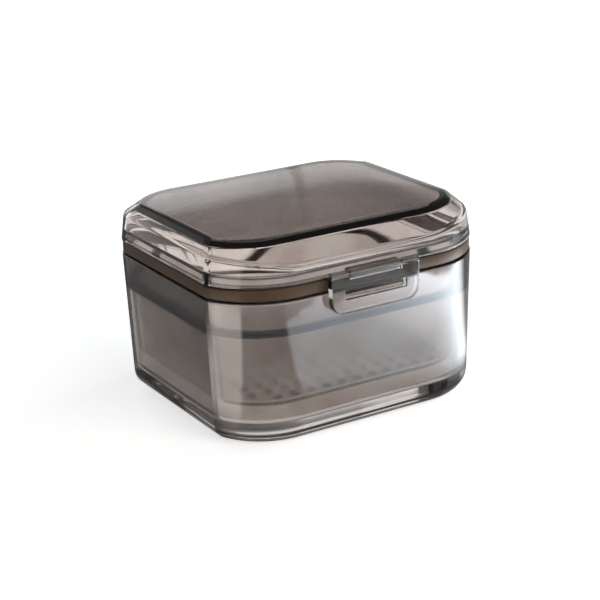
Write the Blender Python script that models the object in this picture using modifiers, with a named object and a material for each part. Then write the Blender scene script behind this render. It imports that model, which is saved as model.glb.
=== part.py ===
"""Denture case: clear body and lid, drain basket, seal ring, front latch and two rear hinges.

The case stands on Z = 0 with its centre on the Z axis. The latch faces -Y and the hinges face +Y.
"""

import math

import bmesh
import bpy
from mathutils import Matrix, Vector

MM = 0.001

# Outline of the case at the body's rim. The side planes cut the corner arcs in a crease.
CASE_WIDTH = 95.0 * MM
CASE_DEPTH = 88.0 * MM
CORNER_RADIUS = 25.0 * MM
CREASE_ANGLE = math.radians(20.0)
CORNER_STEPS = 12

# Clearances.
SEAT_GAP = 0.3 * MM
PIN_GAP = 0.3 * MM
KNUCKLE_GAP = 0.3 * MM
TONGUE_GAP = 0.35 * MM
BASKET_GAP = 0.3 * MM
CUT_OVERRUN = 1.0 * MM
ROOT_DEPTH = 1.0 * MM

# Body.
BODY_HEIGHT = 45.9 * MM
BODY_WALL = 2.4 * MM
BODY_TAPER = 1.2 * MM
BASE_THICKNESS = 6.5 * MM
BASE_FILLET = 6.0 * MM
FLOOR_FILLET = 3.0 * MM
FILLET_STEPS = 5
RIM_ROUND = 0.4 * MM
LEDGE_DROP = 11.3 * MM
LEDGE_WIDTH = 1.0 * MM
INSIDE_TAPER = 0.8 * MM

# Catch rib on the front of the body.
RIB_LENGTH = 20.6 * MM
RIB_HEIGHT = 1.4 * MM
RIB_REACH = 2.4 * MM
RIB_DROP = 0.2 * MM
RIB_ROUND = 0.3 * MM

# Seal ring.
SEAL_HEIGHT = 3.9 * MM
SEAL_RECESS = 0.3 * MM
SEAL_ROUND = 0.5 * MM

# Lid. Heights are measured up from the lower edge of its skirt.
LID_HEIGHT = 12.4 * MM
LID_WALL = 2.4 * MM
FRONT_SKIRT_HEIGHT = 5.8 * MM
SIDE_SKIRT_HEIGHT = 8.2 * MM
FRONT_SKIRT_TAPER = 0.5 * MM
SIDE_SKIRT_TAPER = 1.2 * MM
FRONT_BEVEL_WIDTH = 9.9 * MM
SIDE_BEVEL_WIDTH = 3.4 * MM
TOP_CORNER_RADIUS = 18.0 * MM
TOP_CREASE_ANGLE = math.radians(21.0)
LID_EDGE_ROUND = 0.5 * MM
TONGUE_WALL = 1.3 * MM
TONGUE_DROP = 1.7 * MM
SHOULDER_HEIGHT = 2.0 * MM
SHOULDER_SLOPE = 1.2 * MM

# Drain basket.
BASKET_FLANGE = 1.4 * MM
BASKET_WALL = 1.2 * MM
BASKET_SIDE_GAP = 0.8 * MM
BASKET_TAPER = 1.3 * MM
BASKET_FLOOR = 1.4 * MM
BASKET_FILLET = 2.5 * MM
SUMP_DEPTH = 5.0 * MM
HOLE_DIAMETER = 3.0 * MM
HOLE_PITCH = 5.5 * MM
HOLE_MARGIN = 2.2 * MM
HOLE_SIDES = 8

# Latch, its pin and its ear on the lid.
LATCH_WIDTH = 31.0 * MM
LATCH_GAP = 0.6 * MM
LATCH_KNUCKLE_CLEARANCE = 0.4 * MM
LATCH_DROP = 11.85 * MM
LATCH_CORNER = 4.2 * MM
LATCH_CORNER_STEPS = 6
LATCH_EDGE = 0.35 * MM
LATCH_KNUCKLE_RADIUS = 1.35 * MM
LATCH_KNUCKLE_WIDTH = 6.2 * MM
LATCH_AXIS_RISE = 0.65 * MM
LATCH_PIN_RADIUS = 0.5 * MM
LATCH_PIN_INSET = 0.3 * MM
LATCH_WINDOW_HEIGHT = 3.0 * MM
LATCH_WINDOW_END_GAP = 0.6 * MM
LATCH_WINDOW_LOWER_GAP = 0.4 * MM

# Rear hinges.
HINGE_SPACING = 34.0 * MM
HINGE_RADIUS = 2.4 * MM
HINGE_OFFSET = 3.2 * MM
HINGE_AXIS_RISE = 1.3 * MM
LID_KNUCKLE_WIDTH = 8.0 * MM
BODY_KNUCKLE_WIDTH = 4.0 * MM
HINGE_PIN_RADIUS = 0.8 * MM
HINGE_PIN_INSET = 0.3 * MM
BODY_ARM_TOP_DROP = 4.4 * MM
BODY_ARM_HEIGHT = 5.0 * MM
LID_ARM_RISE = 4.6 * MM
LID_ARM_HEIGHT = 1.0 * MM
KNUCKLE_SIDES = 24
PIN_EDGE = 0.15 * MM

# Levels and places worked out from the sizes above.
LEDGE_LEVEL = BODY_HEIGHT - LEDGE_DROP
SEAL_BOTTOM = BODY_HEIGHT + SEAT_GAP
SEAL_TOP = SEAL_BOTTOM + SEAL_HEIGHT
SKIRT_BOTTOM = SEAL_TOP + SEAT_GAP
LID_TOP = SKIRT_BOTTOM + LID_HEIGHT
CEILING = LID_TOP - LID_WALL
TONGUE_INSET = BODY_WALL + TONGUE_GAP
TONGUE_BOTTOM = BODY_HEIGHT - TONGUE_DROP
FRONT_FACE = CASE_DEPTH / 2
HINGE_AXIS = Vector((0, FRONT_FACE + HINGE_OFFSET, BODY_HEIGHT + HINGE_AXIS_RISE))
LATCH_OUTER_FACE = -(FRONT_FACE + LATCH_KNUCKLE_CLEARANCE + 2 * LATCH_KNUCKLE_RADIUS)
LATCH_INNER_FACE = -(FRONT_FACE + LATCH_GAP)
LATCH_AXIS = Vector((0, LATCH_OUTER_FACE + LATCH_KNUCKLE_RADIUS, SKIRT_BOTTOM + LATCH_AXIS_RISE))
CASE_OUTLINE = (CASE_WIDTH / 2, CASE_DEPTH / 2, CORNER_RADIUS, CORNER_RADIUS * math.cos(CREASE_ANGLE))


def clear_scene():
    """Removes every object, so that the model starts from nothing."""
    for thing in list(bpy.data.objects):
        bpy.data.objects.remove(thing, do_unlink=True)


def new_collection(name, hidden=False):
    """Adds a collection to the scene."""
    group = bpy.data.collections.new(name)
    group.hide_render = hidden
    bpy.context.scene.collection.children.link(group)
    return group


def new_material(name, colour, roughness, metallic=0.0, alpha=1.0):
    """Makes a Principled material."""
    material = bpy.data.materials.new(name)
    material.use_nodes = True
    shader = material.node_tree.nodes["Principled BSDF"]
    shader.inputs["Base Color"].default_value = (*colour, 1.0)
    shader.inputs["Roughness"].default_value = roughness
    shader.inputs["Metallic"].default_value = metallic
    shader.inputs["Alpha"].default_value = alpha
    return material


def inset_outline(outline, inset):
    """The outline moved inwards, with the corner arcs kept on their centres."""
    return tuple(size - inset for size in outline)


def ring(outline, front_level, side_level=None):
    """Points round an outline, seen from above against the clock.

    The level runs from front_level on the front and back to side_level on the side planes.
    """
    half_width, half_depth, radius, reach = outline
    if side_level is None:
        side_level = front_level
    start = math.acos(min(reach / radius, 1.0))
    angles = [start + (math.pi / 2 - start) * step / CORNER_STEPS for step in range(CORNER_STEPS + 1)]
    points = []
    for side_x, side_y in ((1, 1), (-1, 1), (-1, -1), (1, -1)):
        corner = []
        for angle in angles:
            across = radius * math.cos(angle)
            along = half_depth - radius + radius * math.sin(angle)
            level = front_level + (side_level - front_level) * across / reach
            corner.append(Vector((side_x * (half_width - reach + across), side_y * along, level)))
        if side_x != side_y:
            corner.reverse()
        points.extend(corner)
    return points


def profile_rings(profile):
    """Rings of the case outline for a list of (inset, level) pairs."""
    return [ring(inset_outline(CASE_OUTLINE, inset), level) for inset, level in profile]


def quarter_round(inset, level, radius, inset_sign, level_sign, steps=FILLET_STEPS):
    """A quarter circle of (inset, level) pairs that leaves a flat and ends on a wall.

    The pair (inset, level) is the corner that the round replaces. The signs point from that
    corner along the flat and along the wall.
    """
    pairs = []
    for step in range(steps + 1):
        angle = math.pi / 2 * step / steps
        pairs.append(
            (
                inset + inset_sign * radius * (1 - math.sin(angle)),
                level + level_sign * radius * (1 - math.cos(angle)),
            )
        )
    return pairs


def loft(name, rings, group, material, closed=False):
    """Skins rings of equal counts, and caps the first and last unless the loft is closed."""
    mesh = bpy.data.meshes.new(name)
    bm = bmesh.new()
    loops = [[bm.verts.new(point) for point in points] for points in rings]
    pairs = list(zip(loops, loops[1:]))
    if closed:
        pairs.append((loops[-1], loops[0]))
    for lower, upper in pairs:
        for index in range(len(lower)):
            following = (index + 1) % len(lower)
            bm.faces.new((lower[index], lower[following], upper[following], upper[index]))
    if not closed:
        bm.faces.new(loops[0])
        bm.faces.new(loops[-1])
    bmesh.ops.recalc_face_normals(bm, faces=bm.faces)
    bm.to_mesh(mesh)
    bm.free()
    return add_object(name, mesh, group, material)


def add_object(name, mesh, group, material=None):
    """Links a mesh as a named object."""
    thing = bpy.data.objects.new(name, mesh)
    group.objects.link(thing)
    if material is not None:
        mesh.materials.append(material)
    return thing


def smooth(thing, angle=math.radians(14.0)):
    """Shades smooth, with the creases left sharp."""
    thing.data.shade_smooth()
    thing.data.set_sharp_from_angle(angle=angle)


def block(name, low, high, group):
    """A box between two corners."""
    mesh = bpy.data.meshes.new(name)
    bm = bmesh.new()
    bmesh.ops.create_cube(bm, size=1.0)
    size = Vector(high) - Vector(low)
    centre = (Vector(high) + Vector(low)) / 2
    bmesh.ops.scale(bm, vec=size, verts=bm.verts)
    bmesh.ops.translate(bm, vec=centre, verts=bm.verts)
    bm.to_mesh(mesh)
    bm.free()
    return add_object(name, mesh, group)


def rod(name, centre, radius, length, group, axis="X", sides=KNUCKLE_SIDES, material=None):
    """A closed cylinder along X or Z."""
    mesh = bpy.data.meshes.new(name)
    bm = bmesh.new()
    bmesh.ops.create_cone(
        bm, cap_ends=True, segments=sides, radius1=radius, radius2=radius, depth=length
    )
    if axis == "X":
        bmesh.ops.rotate(bm, verts=bm.verts, matrix=Matrix.Rotation(math.pi / 2, 3, "Y"))
    bm.to_mesh(mesh)
    bm.free()
    thing = add_object(name, mesh, group, material)
    thing.location = centre
    return thing


def arm(name, start_x, end_x, axis, radius, roots, group):
    """A hinge knuckle on its arm: the hull of a round end and the root points in the wall."""
    mesh = bpy.data.meshes.new(name)
    bm = bmesh.new()
    for across in (start_x, end_x):
        for step in range(KNUCKLE_SIDES):
            angle = 2 * math.pi * step / KNUCKLE_SIDES
            bm.verts.new((across, axis.y + radius * math.cos(angle), axis.z + radius * math.sin(angle)))
        for root_y, root_z in roots:
            bm.verts.new((across, root_y, root_z))
    result = bmesh.ops.convex_hull(bm, input=bm.verts)
    bmesh.ops.delete(bm, geom=result["geom_interior"], context="VERTS")
    bmesh.ops.dissolve_limit(bm, angle_limit=math.radians(1.0), verts=bm.verts, edges=bm.edges)
    bmesh.ops.recalc_face_normals(bm, faces=bm.faces)
    bm.to_mesh(mesh)
    bm.free()
    return add_object(name, mesh, group)


def combine(thing, tool, operation):
    """Adds an exact Boolean modifier."""
    modifier = thing.modifiers.new(tool.name, "BOOLEAN")
    modifier.operation = operation
    modifier.object = tool
    modifier.solver = "EXACT"


def hide_cutter(thing):
    """Shows a cutter as wires."""
    thing.display_type = "WIRE"
    thing.hide_render = True


def hinge_places():
    """The hinges' middles along X, by name."""
    return {"left": -HINGE_SPACING / 2, "right": HINGE_SPACING / 2}


def make_body(group, cutters, material):
    """The clear box, with its ledge, catch rib and rear hinge ears."""
    lower_inset = BODY_WALL + LEDGE_WIDTH
    floor_inset = lower_inset + INSIDE_TAPER
    profile = quarter_round(BODY_TAPER, 0, BASE_FILLET, 1, 1)
    profile += [
        (0, BODY_HEIGHT - RIM_ROUND),
        (RIM_ROUND, BODY_HEIGHT),
        (BODY_WALL - RIM_ROUND, BODY_HEIGHT),
        (BODY_WALL, BODY_HEIGHT - RIM_ROUND),
        (BODY_WALL, LEDGE_LEVEL),
        (lower_inset, LEDGE_LEVEL),
    ]
    profile += reversed(quarter_round(floor_inset, BASE_THICKNESS, FLOOR_FILLET, 1, 1))
    body = loft("case_body", profile_rings(profile), group, material)

    rib_top = BODY_HEIGHT - RIM_ROUND - RIB_DROP
    rib = block(
        "catch_rib_tool",
        (-RIB_LENGTH / 2, -(FRONT_FACE + RIB_REACH), rib_top - RIB_HEIGHT),
        (RIB_LENGTH / 2, -(FRONT_FACE - ROOT_DEPTH), rib_top),
        cutters,
    )
    edge = rib.modifiers.new("Edge", "BEVEL")
    edge.width = RIB_ROUND
    edge.segments = 2
    combine(body, rib, "UNION")

    ear_offset = LID_KNUCKLE_WIDTH / 2 + KNUCKLE_GAP
    arm_top = BODY_HEIGHT - BODY_ARM_TOP_DROP
    roots = [
        (FRONT_FACE - ROOT_DEPTH, arm_top),
        (FRONT_FACE - ROOT_DEPTH, arm_top - BODY_ARM_HEIGHT),
    ]
    for side, middle in hinge_places().items():
        for end, sign in (("inner", -1), ("outer", 1)):
            start = middle + sign * ear_offset
            stop = start + sign * BODY_KNUCKLE_WIDTH
            name = f"body_ear_{side}_{end}_tool"
            ear = arm(name, start, stop, HINGE_AXIS, HINGE_RADIUS, roots, cutters)
            combine(body, ear, "UNION")
    for side, middle in hinge_places().items():
        bore = hinge_bore(f"body_bore_{side}_tool", middle, cutters)
        combine(body, bore, "DIFFERENCE")
    smooth(body)
    return body


def hinge_bore(name, middle, cutters):
    """The hole through one hinge's knuckles."""
    length = LID_KNUCKLE_WIDTH + 2 * (KNUCKLE_GAP + BODY_KNUCKLE_WIDTH + CUT_OVERRUN)
    centre = HINGE_AXIS + Vector((middle, 0, 0))
    return rod(name, centre, HINGE_PIN_RADIUS + PIN_GAP, length, cutters)


def lid_outline(front_inset, side_inset, radius, crease):
    """An outline of the lid with unlike insets on front and sides."""
    return (CASE_WIDTH / 2 - side_inset, CASE_DEPTH / 2 - front_inset, radius, radius * math.cos(crease))


def lid_outer_rings():
    """The lid's outside from the skirt's lower edge to the edge of its flat top."""
    front_edge = SKIRT_BOTTOM + FRONT_SKIRT_HEIGHT
    side_edge = SKIRT_BOTTOM + SIDE_SKIRT_HEIGHT
    front_top = FRONT_SKIRT_TAPER + FRONT_BEVEL_WIDTH
    side_top = SIDE_SKIRT_TAPER + SIDE_BEVEL_WIDTH
    front_slope = math.atan2(LID_HEIGHT - FRONT_SKIRT_HEIGHT, FRONT_BEVEL_WIDTH)
    side_slope = math.atan2(LID_HEIGHT - SIDE_SKIRT_HEIGHT, SIDE_BEVEL_WIDTH)

    def skirt_edge(drop):
        outline = lid_outline(
            FRONT_SKIRT_TAPER, SIDE_SKIRT_TAPER, CORNER_RADIUS - FRONT_SKIRT_TAPER, CREASE_ANGLE
        )
        return ring(outline, front_edge - drop, side_edge - drop)

    def on_bevel(front_run, side_run, radius, crease, from_top):
        front_inset = front_top - front_run if from_top else FRONT_SKIRT_TAPER + front_run
        side_inset = side_top - side_run if from_top else SIDE_SKIRT_TAPER + side_run
        front_base = LID_TOP - front_run * math.tan(front_slope)
        side_base = LID_TOP - side_run * math.tan(side_slope)
        if not from_top:
            front_base = front_edge + front_run * math.tan(front_slope)
            side_base = side_edge + side_run * math.tan(side_slope)
        return ring(lid_outline(front_inset, side_inset, radius, crease), front_base, side_base)

    front_run = LID_EDGE_ROUND * math.cos(front_slope)
    side_run = LID_EDGE_ROUND * math.cos(side_slope)
    top = lid_outline(
        front_top + LID_EDGE_ROUND,
        side_top + LID_EDGE_ROUND,
        TOP_CORNER_RADIUS - LID_EDGE_ROUND,
        TOP_CREASE_ANGLE,
    )
    return [
        ring(inset_outline(CASE_OUTLINE, RIM_ROUND), SKIRT_BOTTOM),
        ring(CASE_OUTLINE, SKIRT_BOTTOM + RIM_ROUND),
        skirt_edge(LID_EDGE_ROUND),
        on_bevel(front_run, side_run, CORNER_RADIUS - FRONT_SKIRT_TAPER, CREASE_ANGLE, from_top=False),
        on_bevel(front_run, side_run, TOP_CORNER_RADIUS, TOP_CREASE_ANGLE, from_top=True),
        ring(top, LID_TOP),
    ]


def lid_inner_rings():
    """The lid's inside from the ceiling down to the tongue, and out to the skirt."""
    front_slope = math.atan2(LID_HEIGHT - FRONT_SKIRT_HEIGHT, FRONT_BEVEL_WIDTH)
    side_slope = math.atan2(LID_HEIGHT - SIDE_SKIRT_HEIGHT, SIDE_BEVEL_WIDTH)
    front_top = FRONT_SKIRT_TAPER + FRONT_BEVEL_WIDTH + LID_WALL * math.tan(front_slope / 2)
    side_top = SIDE_SKIRT_TAPER + SIDE_BEVEL_WIDTH + LID_WALL * math.tan(side_slope / 2)
    front_edge = SKIRT_BOTTOM + FRONT_SKIRT_HEIGHT - LID_WALL * math.tan(math.pi / 4 - front_slope / 2)
    side_edge = SKIRT_BOTTOM + SIDE_SKIRT_HEIGHT - LID_WALL * math.tan(math.pi / 4 - side_slope / 2)
    wall = inset_outline(CASE_OUTLINE, LID_WALL)
    skirt = (wall[0] - SIDE_SKIRT_TAPER, wall[1] - FRONT_SKIRT_TAPER, wall[2], wall[3])
    shoulder = SKIRT_BOTTOM + SHOULDER_HEIGHT
    tongue_inner = inset_outline(CASE_OUTLINE, TONGUE_INSET + TONGUE_WALL)
    tongue_outer = inset_outline(CASE_OUTLINE, TONGUE_INSET)
    return [
        ring(lid_outline(front_top, side_top, TOP_CORNER_RADIUS - LID_WALL / 2, TOP_CREASE_ANGLE), CEILING),
        ring(skirt, front_edge, side_edge),
        ring(wall, shoulder + SHOULDER_SLOPE),
        ring(tongue_inner, shoulder),
        ring(tongue_inner, TONGUE_BOTTOM),
        ring(tongue_outer, TONGUE_BOTTOM),
        ring(tongue_outer, SKIRT_BOTTOM),
    ]


def make_lid(group, cutters, material):
    """The clear cover, with its tongue, latch ear and hinge knuckles."""
    rings = lid_inner_rings() + lid_outer_rings()
    lid = loft("lid", rings, group, material)

    half_ear = LATCH_WIDTH / 2 - LATCH_KNUCKLE_WIDTH - KNUCKLE_GAP
    ear_roots = [
        (-(FRONT_FACE - ROOT_DEPTH), LATCH_AXIS.z),
        (-(FRONT_FACE - ROOT_DEPTH), LATCH_AXIS.z + LATCH_KNUCKLE_RADIUS),
    ]
    ear = arm("latch_ear_tool", -half_ear, half_ear, LATCH_AXIS, LATCH_KNUCKLE_RADIUS, ear_roots, cutters)
    combine(lid, ear, "UNION")

    arm_low = SKIRT_BOTTOM + LID_ARM_RISE
    roots = [
        (FRONT_FACE - ROOT_DEPTH, arm_low),
        (FRONT_FACE - ROOT_DEPTH, arm_low + LID_ARM_HEIGHT),
    ]
    half_knuckle = LID_KNUCKLE_WIDTH / 2
    for side, middle in hinge_places().items():
        knuckle = arm(
            f"lid_knuckle_{side}_tool",
            middle - half_knuckle,
            middle + half_knuckle,
            HINGE_AXIS,
            HINGE_RADIUS,
            roots,
            cutters,
        )
        combine(lid, knuckle, "UNION")
    for side, middle in hinge_places().items():
        bore = hinge_bore(f"lid_bore_{side}_tool", middle, cutters)
        combine(lid, bore, "DIFFERENCE")
    combine(lid, latch_bore("lid_latch_bore_tool", cutters), "DIFFERENCE")
    smooth(lid)
    return lid


def latch_bore(name, cutters):
    """The hole along the latch's axis."""
    return rod(name, LATCH_AXIS, LATCH_PIN_RADIUS + PIN_GAP, LATCH_WIDTH + 2 * CUT_OVERRUN, cutters)


def make_seal(group, material):
    """The silicone ring round the lid's tongue."""
    inner = TONGUE_INSET - SEAT_GAP
    profile = [
        (SEAL_RECESS + SEAL_ROUND, SEAL_BOTTOM),
        (inner, SEAL_BOTTOM),
        (inner, SEAL_TOP),
        (SEAL_RECESS + SEAL_ROUND, SEAL_TOP),
        (SEAL_RECESS, SEAL_TOP - SEAL_ROUND),
        (SEAL_RECESS, SEAL_BOTTOM + SEAL_ROUND),
    ]
    seal = loft("seal_ring", profile_rings(profile), group, material, closed=True)
    smooth(seal)
    return seal


def make_basket(group, cutters, material):
    """The basket that hangs by its flange on the body's ledge."""
    flange_bottom = LEDGE_LEVEL + SEAT_GAP
    flange_top = flange_bottom + BASKET_FLANGE
    flange_inset = BODY_WALL + BASKET_GAP
    outer = BODY_WALL + LEDGE_WIDTH + BASKET_SIDE_GAP
    outer_low = outer + BASKET_TAPER
    bottom = BASE_THICKNESS + SUMP_DEPTH
    floor = bottom + BASKET_FLOOR
    inner_low = outer_low + BASKET_WALL
    inner_fillet = BASKET_FILLET - BASKET_WALL
    profile = quarter_round(outer_low, bottom, BASKET_FILLET, 1, 1, steps=3)
    profile += [
        (outer, flange_bottom),
        (flange_inset, flange_bottom),
        (flange_inset, flange_top),
        (outer + BASKET_WALL, flange_top),
    ]
    profile += reversed(quarter_round(inner_low, floor, inner_fillet, 1, 1, steps=3))
    basket = loft("drain_basket", profile_rings(profile), group, material)

    holes = drain_holes(inset_outline(CASE_OUTLINE, inner_low + inner_fillet), bottom, floor, cutters)
    combine(basket, holes, "DIFFERENCE")
    smooth(basket)
    return basket


def inside_outline(outline, across, along):
    """Whether a point in plan lies inside an outline."""
    half_width, half_depth, radius, reach = outline
    over_x = abs(across) - (half_width - reach)
    over_y = abs(along) - (half_depth - radius)
    if over_x <= 0 or over_y <= 0:
        return abs(across) <= half_width and abs(along) <= half_depth
    return math.hypot(over_x, over_y) <= radius and over_x <= reach


def drain_holes(floor_outline, bottom, floor, cutters):
    """One mesh of rods on a square grid, to cut the basket's floor."""
    edge = inset_outline(floor_outline, HOLE_MARGIN)
    columns = int(edge[0] // HOLE_PITCH)
    rows = int(edge[1] // HOLE_PITCH)
    mesh = bpy.data.meshes.new("drain_holes_tool")
    bm = bmesh.new()
    for column in range(-columns, columns + 1):
        for row in range(-rows, rows + 1):
            across = column * HOLE_PITCH
            along = row * HOLE_PITCH
            if not inside_outline(edge, across, along):
                continue
            place = Matrix.Translation((across, along, (bottom + floor) / 2))
            turn = Matrix.Rotation(math.pi / HOLE_SIDES, 4, "Z")
            bmesh.ops.create_cone(
                bm,
                cap_ends=True,
                segments=HOLE_SIDES,
                radius1=HOLE_DIAMETER / 2,
                radius2=HOLE_DIAMETER / 2,
                depth=floor - bottom + 2 * CUT_OVERRUN,
                matrix=place @ turn,
            )
    bm.to_mesh(mesh)
    bm.free()
    return add_object("drain_holes_tool", mesh, cutters)


def make_latch(group, cutters, material):
    """The latch plate, with its knuckles, window and rounded lower corners."""
    half = LATCH_WIDTH / 2
    bottom = LATCH_AXIS.z - LATCH_DROP
    points = [(half, LATCH_AXIS.z), (-half, LATCH_AXIS.z)]
    for side in (-1, 1):
        corner = []
        for step in range(LATCH_CORNER_STEPS + 1):
            angle = math.pi / 2 * step / LATCH_CORNER_STEPS
            across = side * (half - LATCH_CORNER + LATCH_CORNER * math.cos(angle))
            corner.append((across, bottom + LATCH_CORNER - LATCH_CORNER * math.sin(angle)))
        points.extend(corner if side < 0 else reversed(corner))
    mesh = bpy.data.meshes.new("latch")
    bm = bmesh.new()
    face = bm.faces.new([bm.verts.new((across, LATCH_OUTER_FACE, level)) for across, level in points])
    thick = bmesh.ops.extrude_face_region(bm, geom=[face])
    moved = [part for part in thick["geom"] if isinstance(part, bmesh.types.BMVert)]
    bmesh.ops.translate(bm, vec=(0, LATCH_INNER_FACE - LATCH_OUTER_FACE, 0), verts=moved)
    bmesh.ops.recalc_face_normals(bm, faces=bm.faces)
    bm.to_mesh(mesh)
    bm.free()
    latch = add_object("latch", mesh, group, material)
    set_origin(latch, LATCH_AXIS)
    edge = latch.modifiers.new("Edge", "BEVEL")
    edge.width = LATCH_EDGE
    edge.segments = 2
    edge.limit_method = "ANGLE"
    edge.angle_limit = math.radians(40.0)

    barrel = rod("latch_barrel_tool", LATCH_AXIS, LATCH_KNUCKLE_RADIUS, LATCH_WIDTH, cutters)
    combine(latch, barrel, "UNION")
    half_notch = half - LATCH_KNUCKLE_WIDTH
    notch_level = LATCH_AXIS.z - LATCH_KNUCKLE_RADIUS - KNUCKLE_GAP
    notch = block(
        "latch_notch_tool",
        (-half_notch, LATCH_OUTER_FACE - CUT_OVERRUN, notch_level),
        (half_notch, LATCH_INNER_FACE + CUT_OVERRUN, LATCH_AXIS.z + 2 * LATCH_KNUCKLE_RADIUS),
        cutters,
    )
    combine(latch, notch, "DIFFERENCE")
    rib_bottom = BODY_HEIGHT - RIM_ROUND - RIB_DROP - RIB_HEIGHT
    window_low = rib_bottom - LATCH_WINDOW_LOWER_GAP
    half_window = RIB_LENGTH / 2 + LATCH_WINDOW_END_GAP
    window = block(
        "latch_window_tool",
        (-half_window, LATCH_OUTER_FACE - CUT_OVERRUN, window_low),
        (half_window, LATCH_INNER_FACE + CUT_OVERRUN, window_low + LATCH_WINDOW_HEIGHT),
        cutters,
    )
    combine(latch, window, "DIFFERENCE")
    combine(latch, latch_bore("latch_bore_tool", cutters), "DIFFERENCE")
    smooth(latch, math.radians(30.0))
    return latch


def set_origin(thing, place):
    """Puts an object's origin on its axis without moving its mesh."""
    thing.data.transform(Matrix.Translation(-Vector(place)))
    thing.location = place


def make_pin(name, centre, radius, length, group, material):
    """A round pin with broken edges."""
    pin = rod(name, centre, radius, length, group, sides=KNUCKLE_SIDES, material=material)
    edge = pin.modifiers.new("Edge", "BEVEL")
    edge.width = PIN_EDGE
    edge.segments = 1
    edge.limit_method = "ANGLE"
    edge.angle_limit = math.radians(40.0)
    smooth(pin, math.radians(30.0))
    return pin


def make_pins(group, material):
    """The latch pin and the two hinge pins."""
    length = LATCH_WIDTH - 2 * LATCH_PIN_INSET
    pins = [make_pin("latch_pin", LATCH_AXIS, LATCH_PIN_RADIUS, length, group, material)]
    length = LID_KNUCKLE_WIDTH + 2 * (KNUCKLE_GAP + BODY_KNUCKLE_WIDTH - HINGE_PIN_INSET)
    for side, middle in hinge_places().items():
        centre = HINGE_AXIS + Vector((middle, 0, 0))
        pins.append(make_pin(f"hinge_pin_{side}", centre, HINGE_PIN_RADIUS, length, group, material))
    return pins


def main():
    """Builds the case."""
    clear_scene()
    group = new_collection("denture_case")
    cutters = new_collection("cutters", hidden=True)
    clear = new_material("smoky_clear", (0.30, 0.27, 0.255), 0.08, alpha=0.55)
    frosted = new_material("frosted_grey", (0.45, 0.42, 0.40), 0.55, alpha=0.8)
    silicone = new_material("brown_silicone", (0.17, 0.115, 0.075), 0.6)
    clip = new_material("clip_clear", (0.42, 0.39, 0.375), 0.08, alpha=0.5)
    steel = new_material("pin_steel", (0.55, 0.54, 0.53), 0.3, metallic=1.0)

    make_body(group, cutters, clear)
    lid = make_lid(group, cutters, clear)
    set_origin(lid, HINGE_AXIS)
    make_seal(group, silicone)
    make_basket(group, cutters, frosted)
    make_latch(group, cutters, clip)
    make_pins(group, steel)
    for thing in cutters.objects:
        hide_cutter(thing)


main()
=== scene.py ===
"""Denture case: clear smoky box and bevelled lid, silicone seal, drain basket and front clip."""

import math

import bmesh
import bpy
from bpy.props import FloatProperty, FloatVectorProperty, IntProperty, PointerProperty
from mathutils import Matrix, Vector


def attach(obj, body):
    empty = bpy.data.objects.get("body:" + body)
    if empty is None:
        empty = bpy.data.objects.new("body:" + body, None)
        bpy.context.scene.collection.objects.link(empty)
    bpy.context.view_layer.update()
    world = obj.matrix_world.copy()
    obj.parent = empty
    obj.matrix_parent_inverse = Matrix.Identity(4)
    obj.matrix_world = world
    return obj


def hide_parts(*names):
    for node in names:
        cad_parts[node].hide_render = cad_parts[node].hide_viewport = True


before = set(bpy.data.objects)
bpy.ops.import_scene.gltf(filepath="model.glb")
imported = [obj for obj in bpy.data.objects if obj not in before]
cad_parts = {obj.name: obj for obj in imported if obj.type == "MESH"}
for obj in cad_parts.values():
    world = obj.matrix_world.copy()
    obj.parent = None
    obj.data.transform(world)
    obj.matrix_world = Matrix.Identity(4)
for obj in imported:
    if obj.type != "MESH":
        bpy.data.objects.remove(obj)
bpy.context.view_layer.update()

bl_info = {
    "name": "Denture Case",
    "version": (1, 0, 0),
    "blender": (4, 5, 0),
    "location": "View3D > Sidebar > Denture Case",
    "description": "Models a clear denture case with its seal, drain basket and clip",
    "category": "Object",
}

# Modelling tolerances, in metres.
MERGED = 0.000001
TOUCHING = 0.00001
LEVEL = 0.0001
PASS_THROUGH = 0.001

# Roundings and root depths that no setting changes, in metres.
CRISP_ROUND = 0.0002
FINE_ROUND = 0.0003
PLAIN_ROUND = 0.0004
RIM_INNER_ROUND = 0.0005
LIP_ROUND = 0.0006
BEND_ROUND = 0.0008
CREASE_ROUND = 0.001
ROOT_DEPTH = 0.0006
EAR_ROOT = 0.0008
KNUCKLE_ROOT = 0.0009

# How straight to the front the clip's faces look, and the turns of edges that go or are rounded.
FACES_FRONT = 0.97
FLAT_TURN = math.radians(1)
SHARP_TURN = math.radians(50)

# The floor's size and level and the place that the lamps point at, in metres.
FLOOR_SIZE = 8
FLOOR_LEVEL = -0.0002
LAMP_TARGET = Vector((0, 0, 0.03))

# Refraction of the clear plastic, and of the clip and the basket.
SHELL_IOR = 1.59
CLIP_IOR = 1.5

# Where the shade of a face that turns away starts and ends, and half the border at the ledge.
OUTLINE_TURN = (0.72, 0.94)
SLANT_TURN = (0.2, 0.5)
LEDGE_BORDER = 0.001

# The noise values between which smears and hairlines come up, and how much a smear darkens.
SMEAR_SPAN = (0.5, 0.75)
HAIR_SPAN = (0.64, 0.7)
SMEAR_TONE = -0.05

# Distances on the floor, in metres, between which its light changes, and its shares at their ends.
CASE_EDGE = (0.062, 0.076)
NEAR_RISE = (0.062, 0.19)
NEAR_ENDS = (0.5, 0.85)
LEFT_FALL = (0.165, 0.215)
LEFT_REST = 0.35
RIGHT_RISE = (0.02, 0.12)
SKIRT_START = (0.153, 0.162)
CORNER_START = (0.25, 0.29)
CORNER_FALL = 0.85
UNDER_END = (-0.1, 0.25)
HORIZON = (0.25, 1.2)

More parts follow.
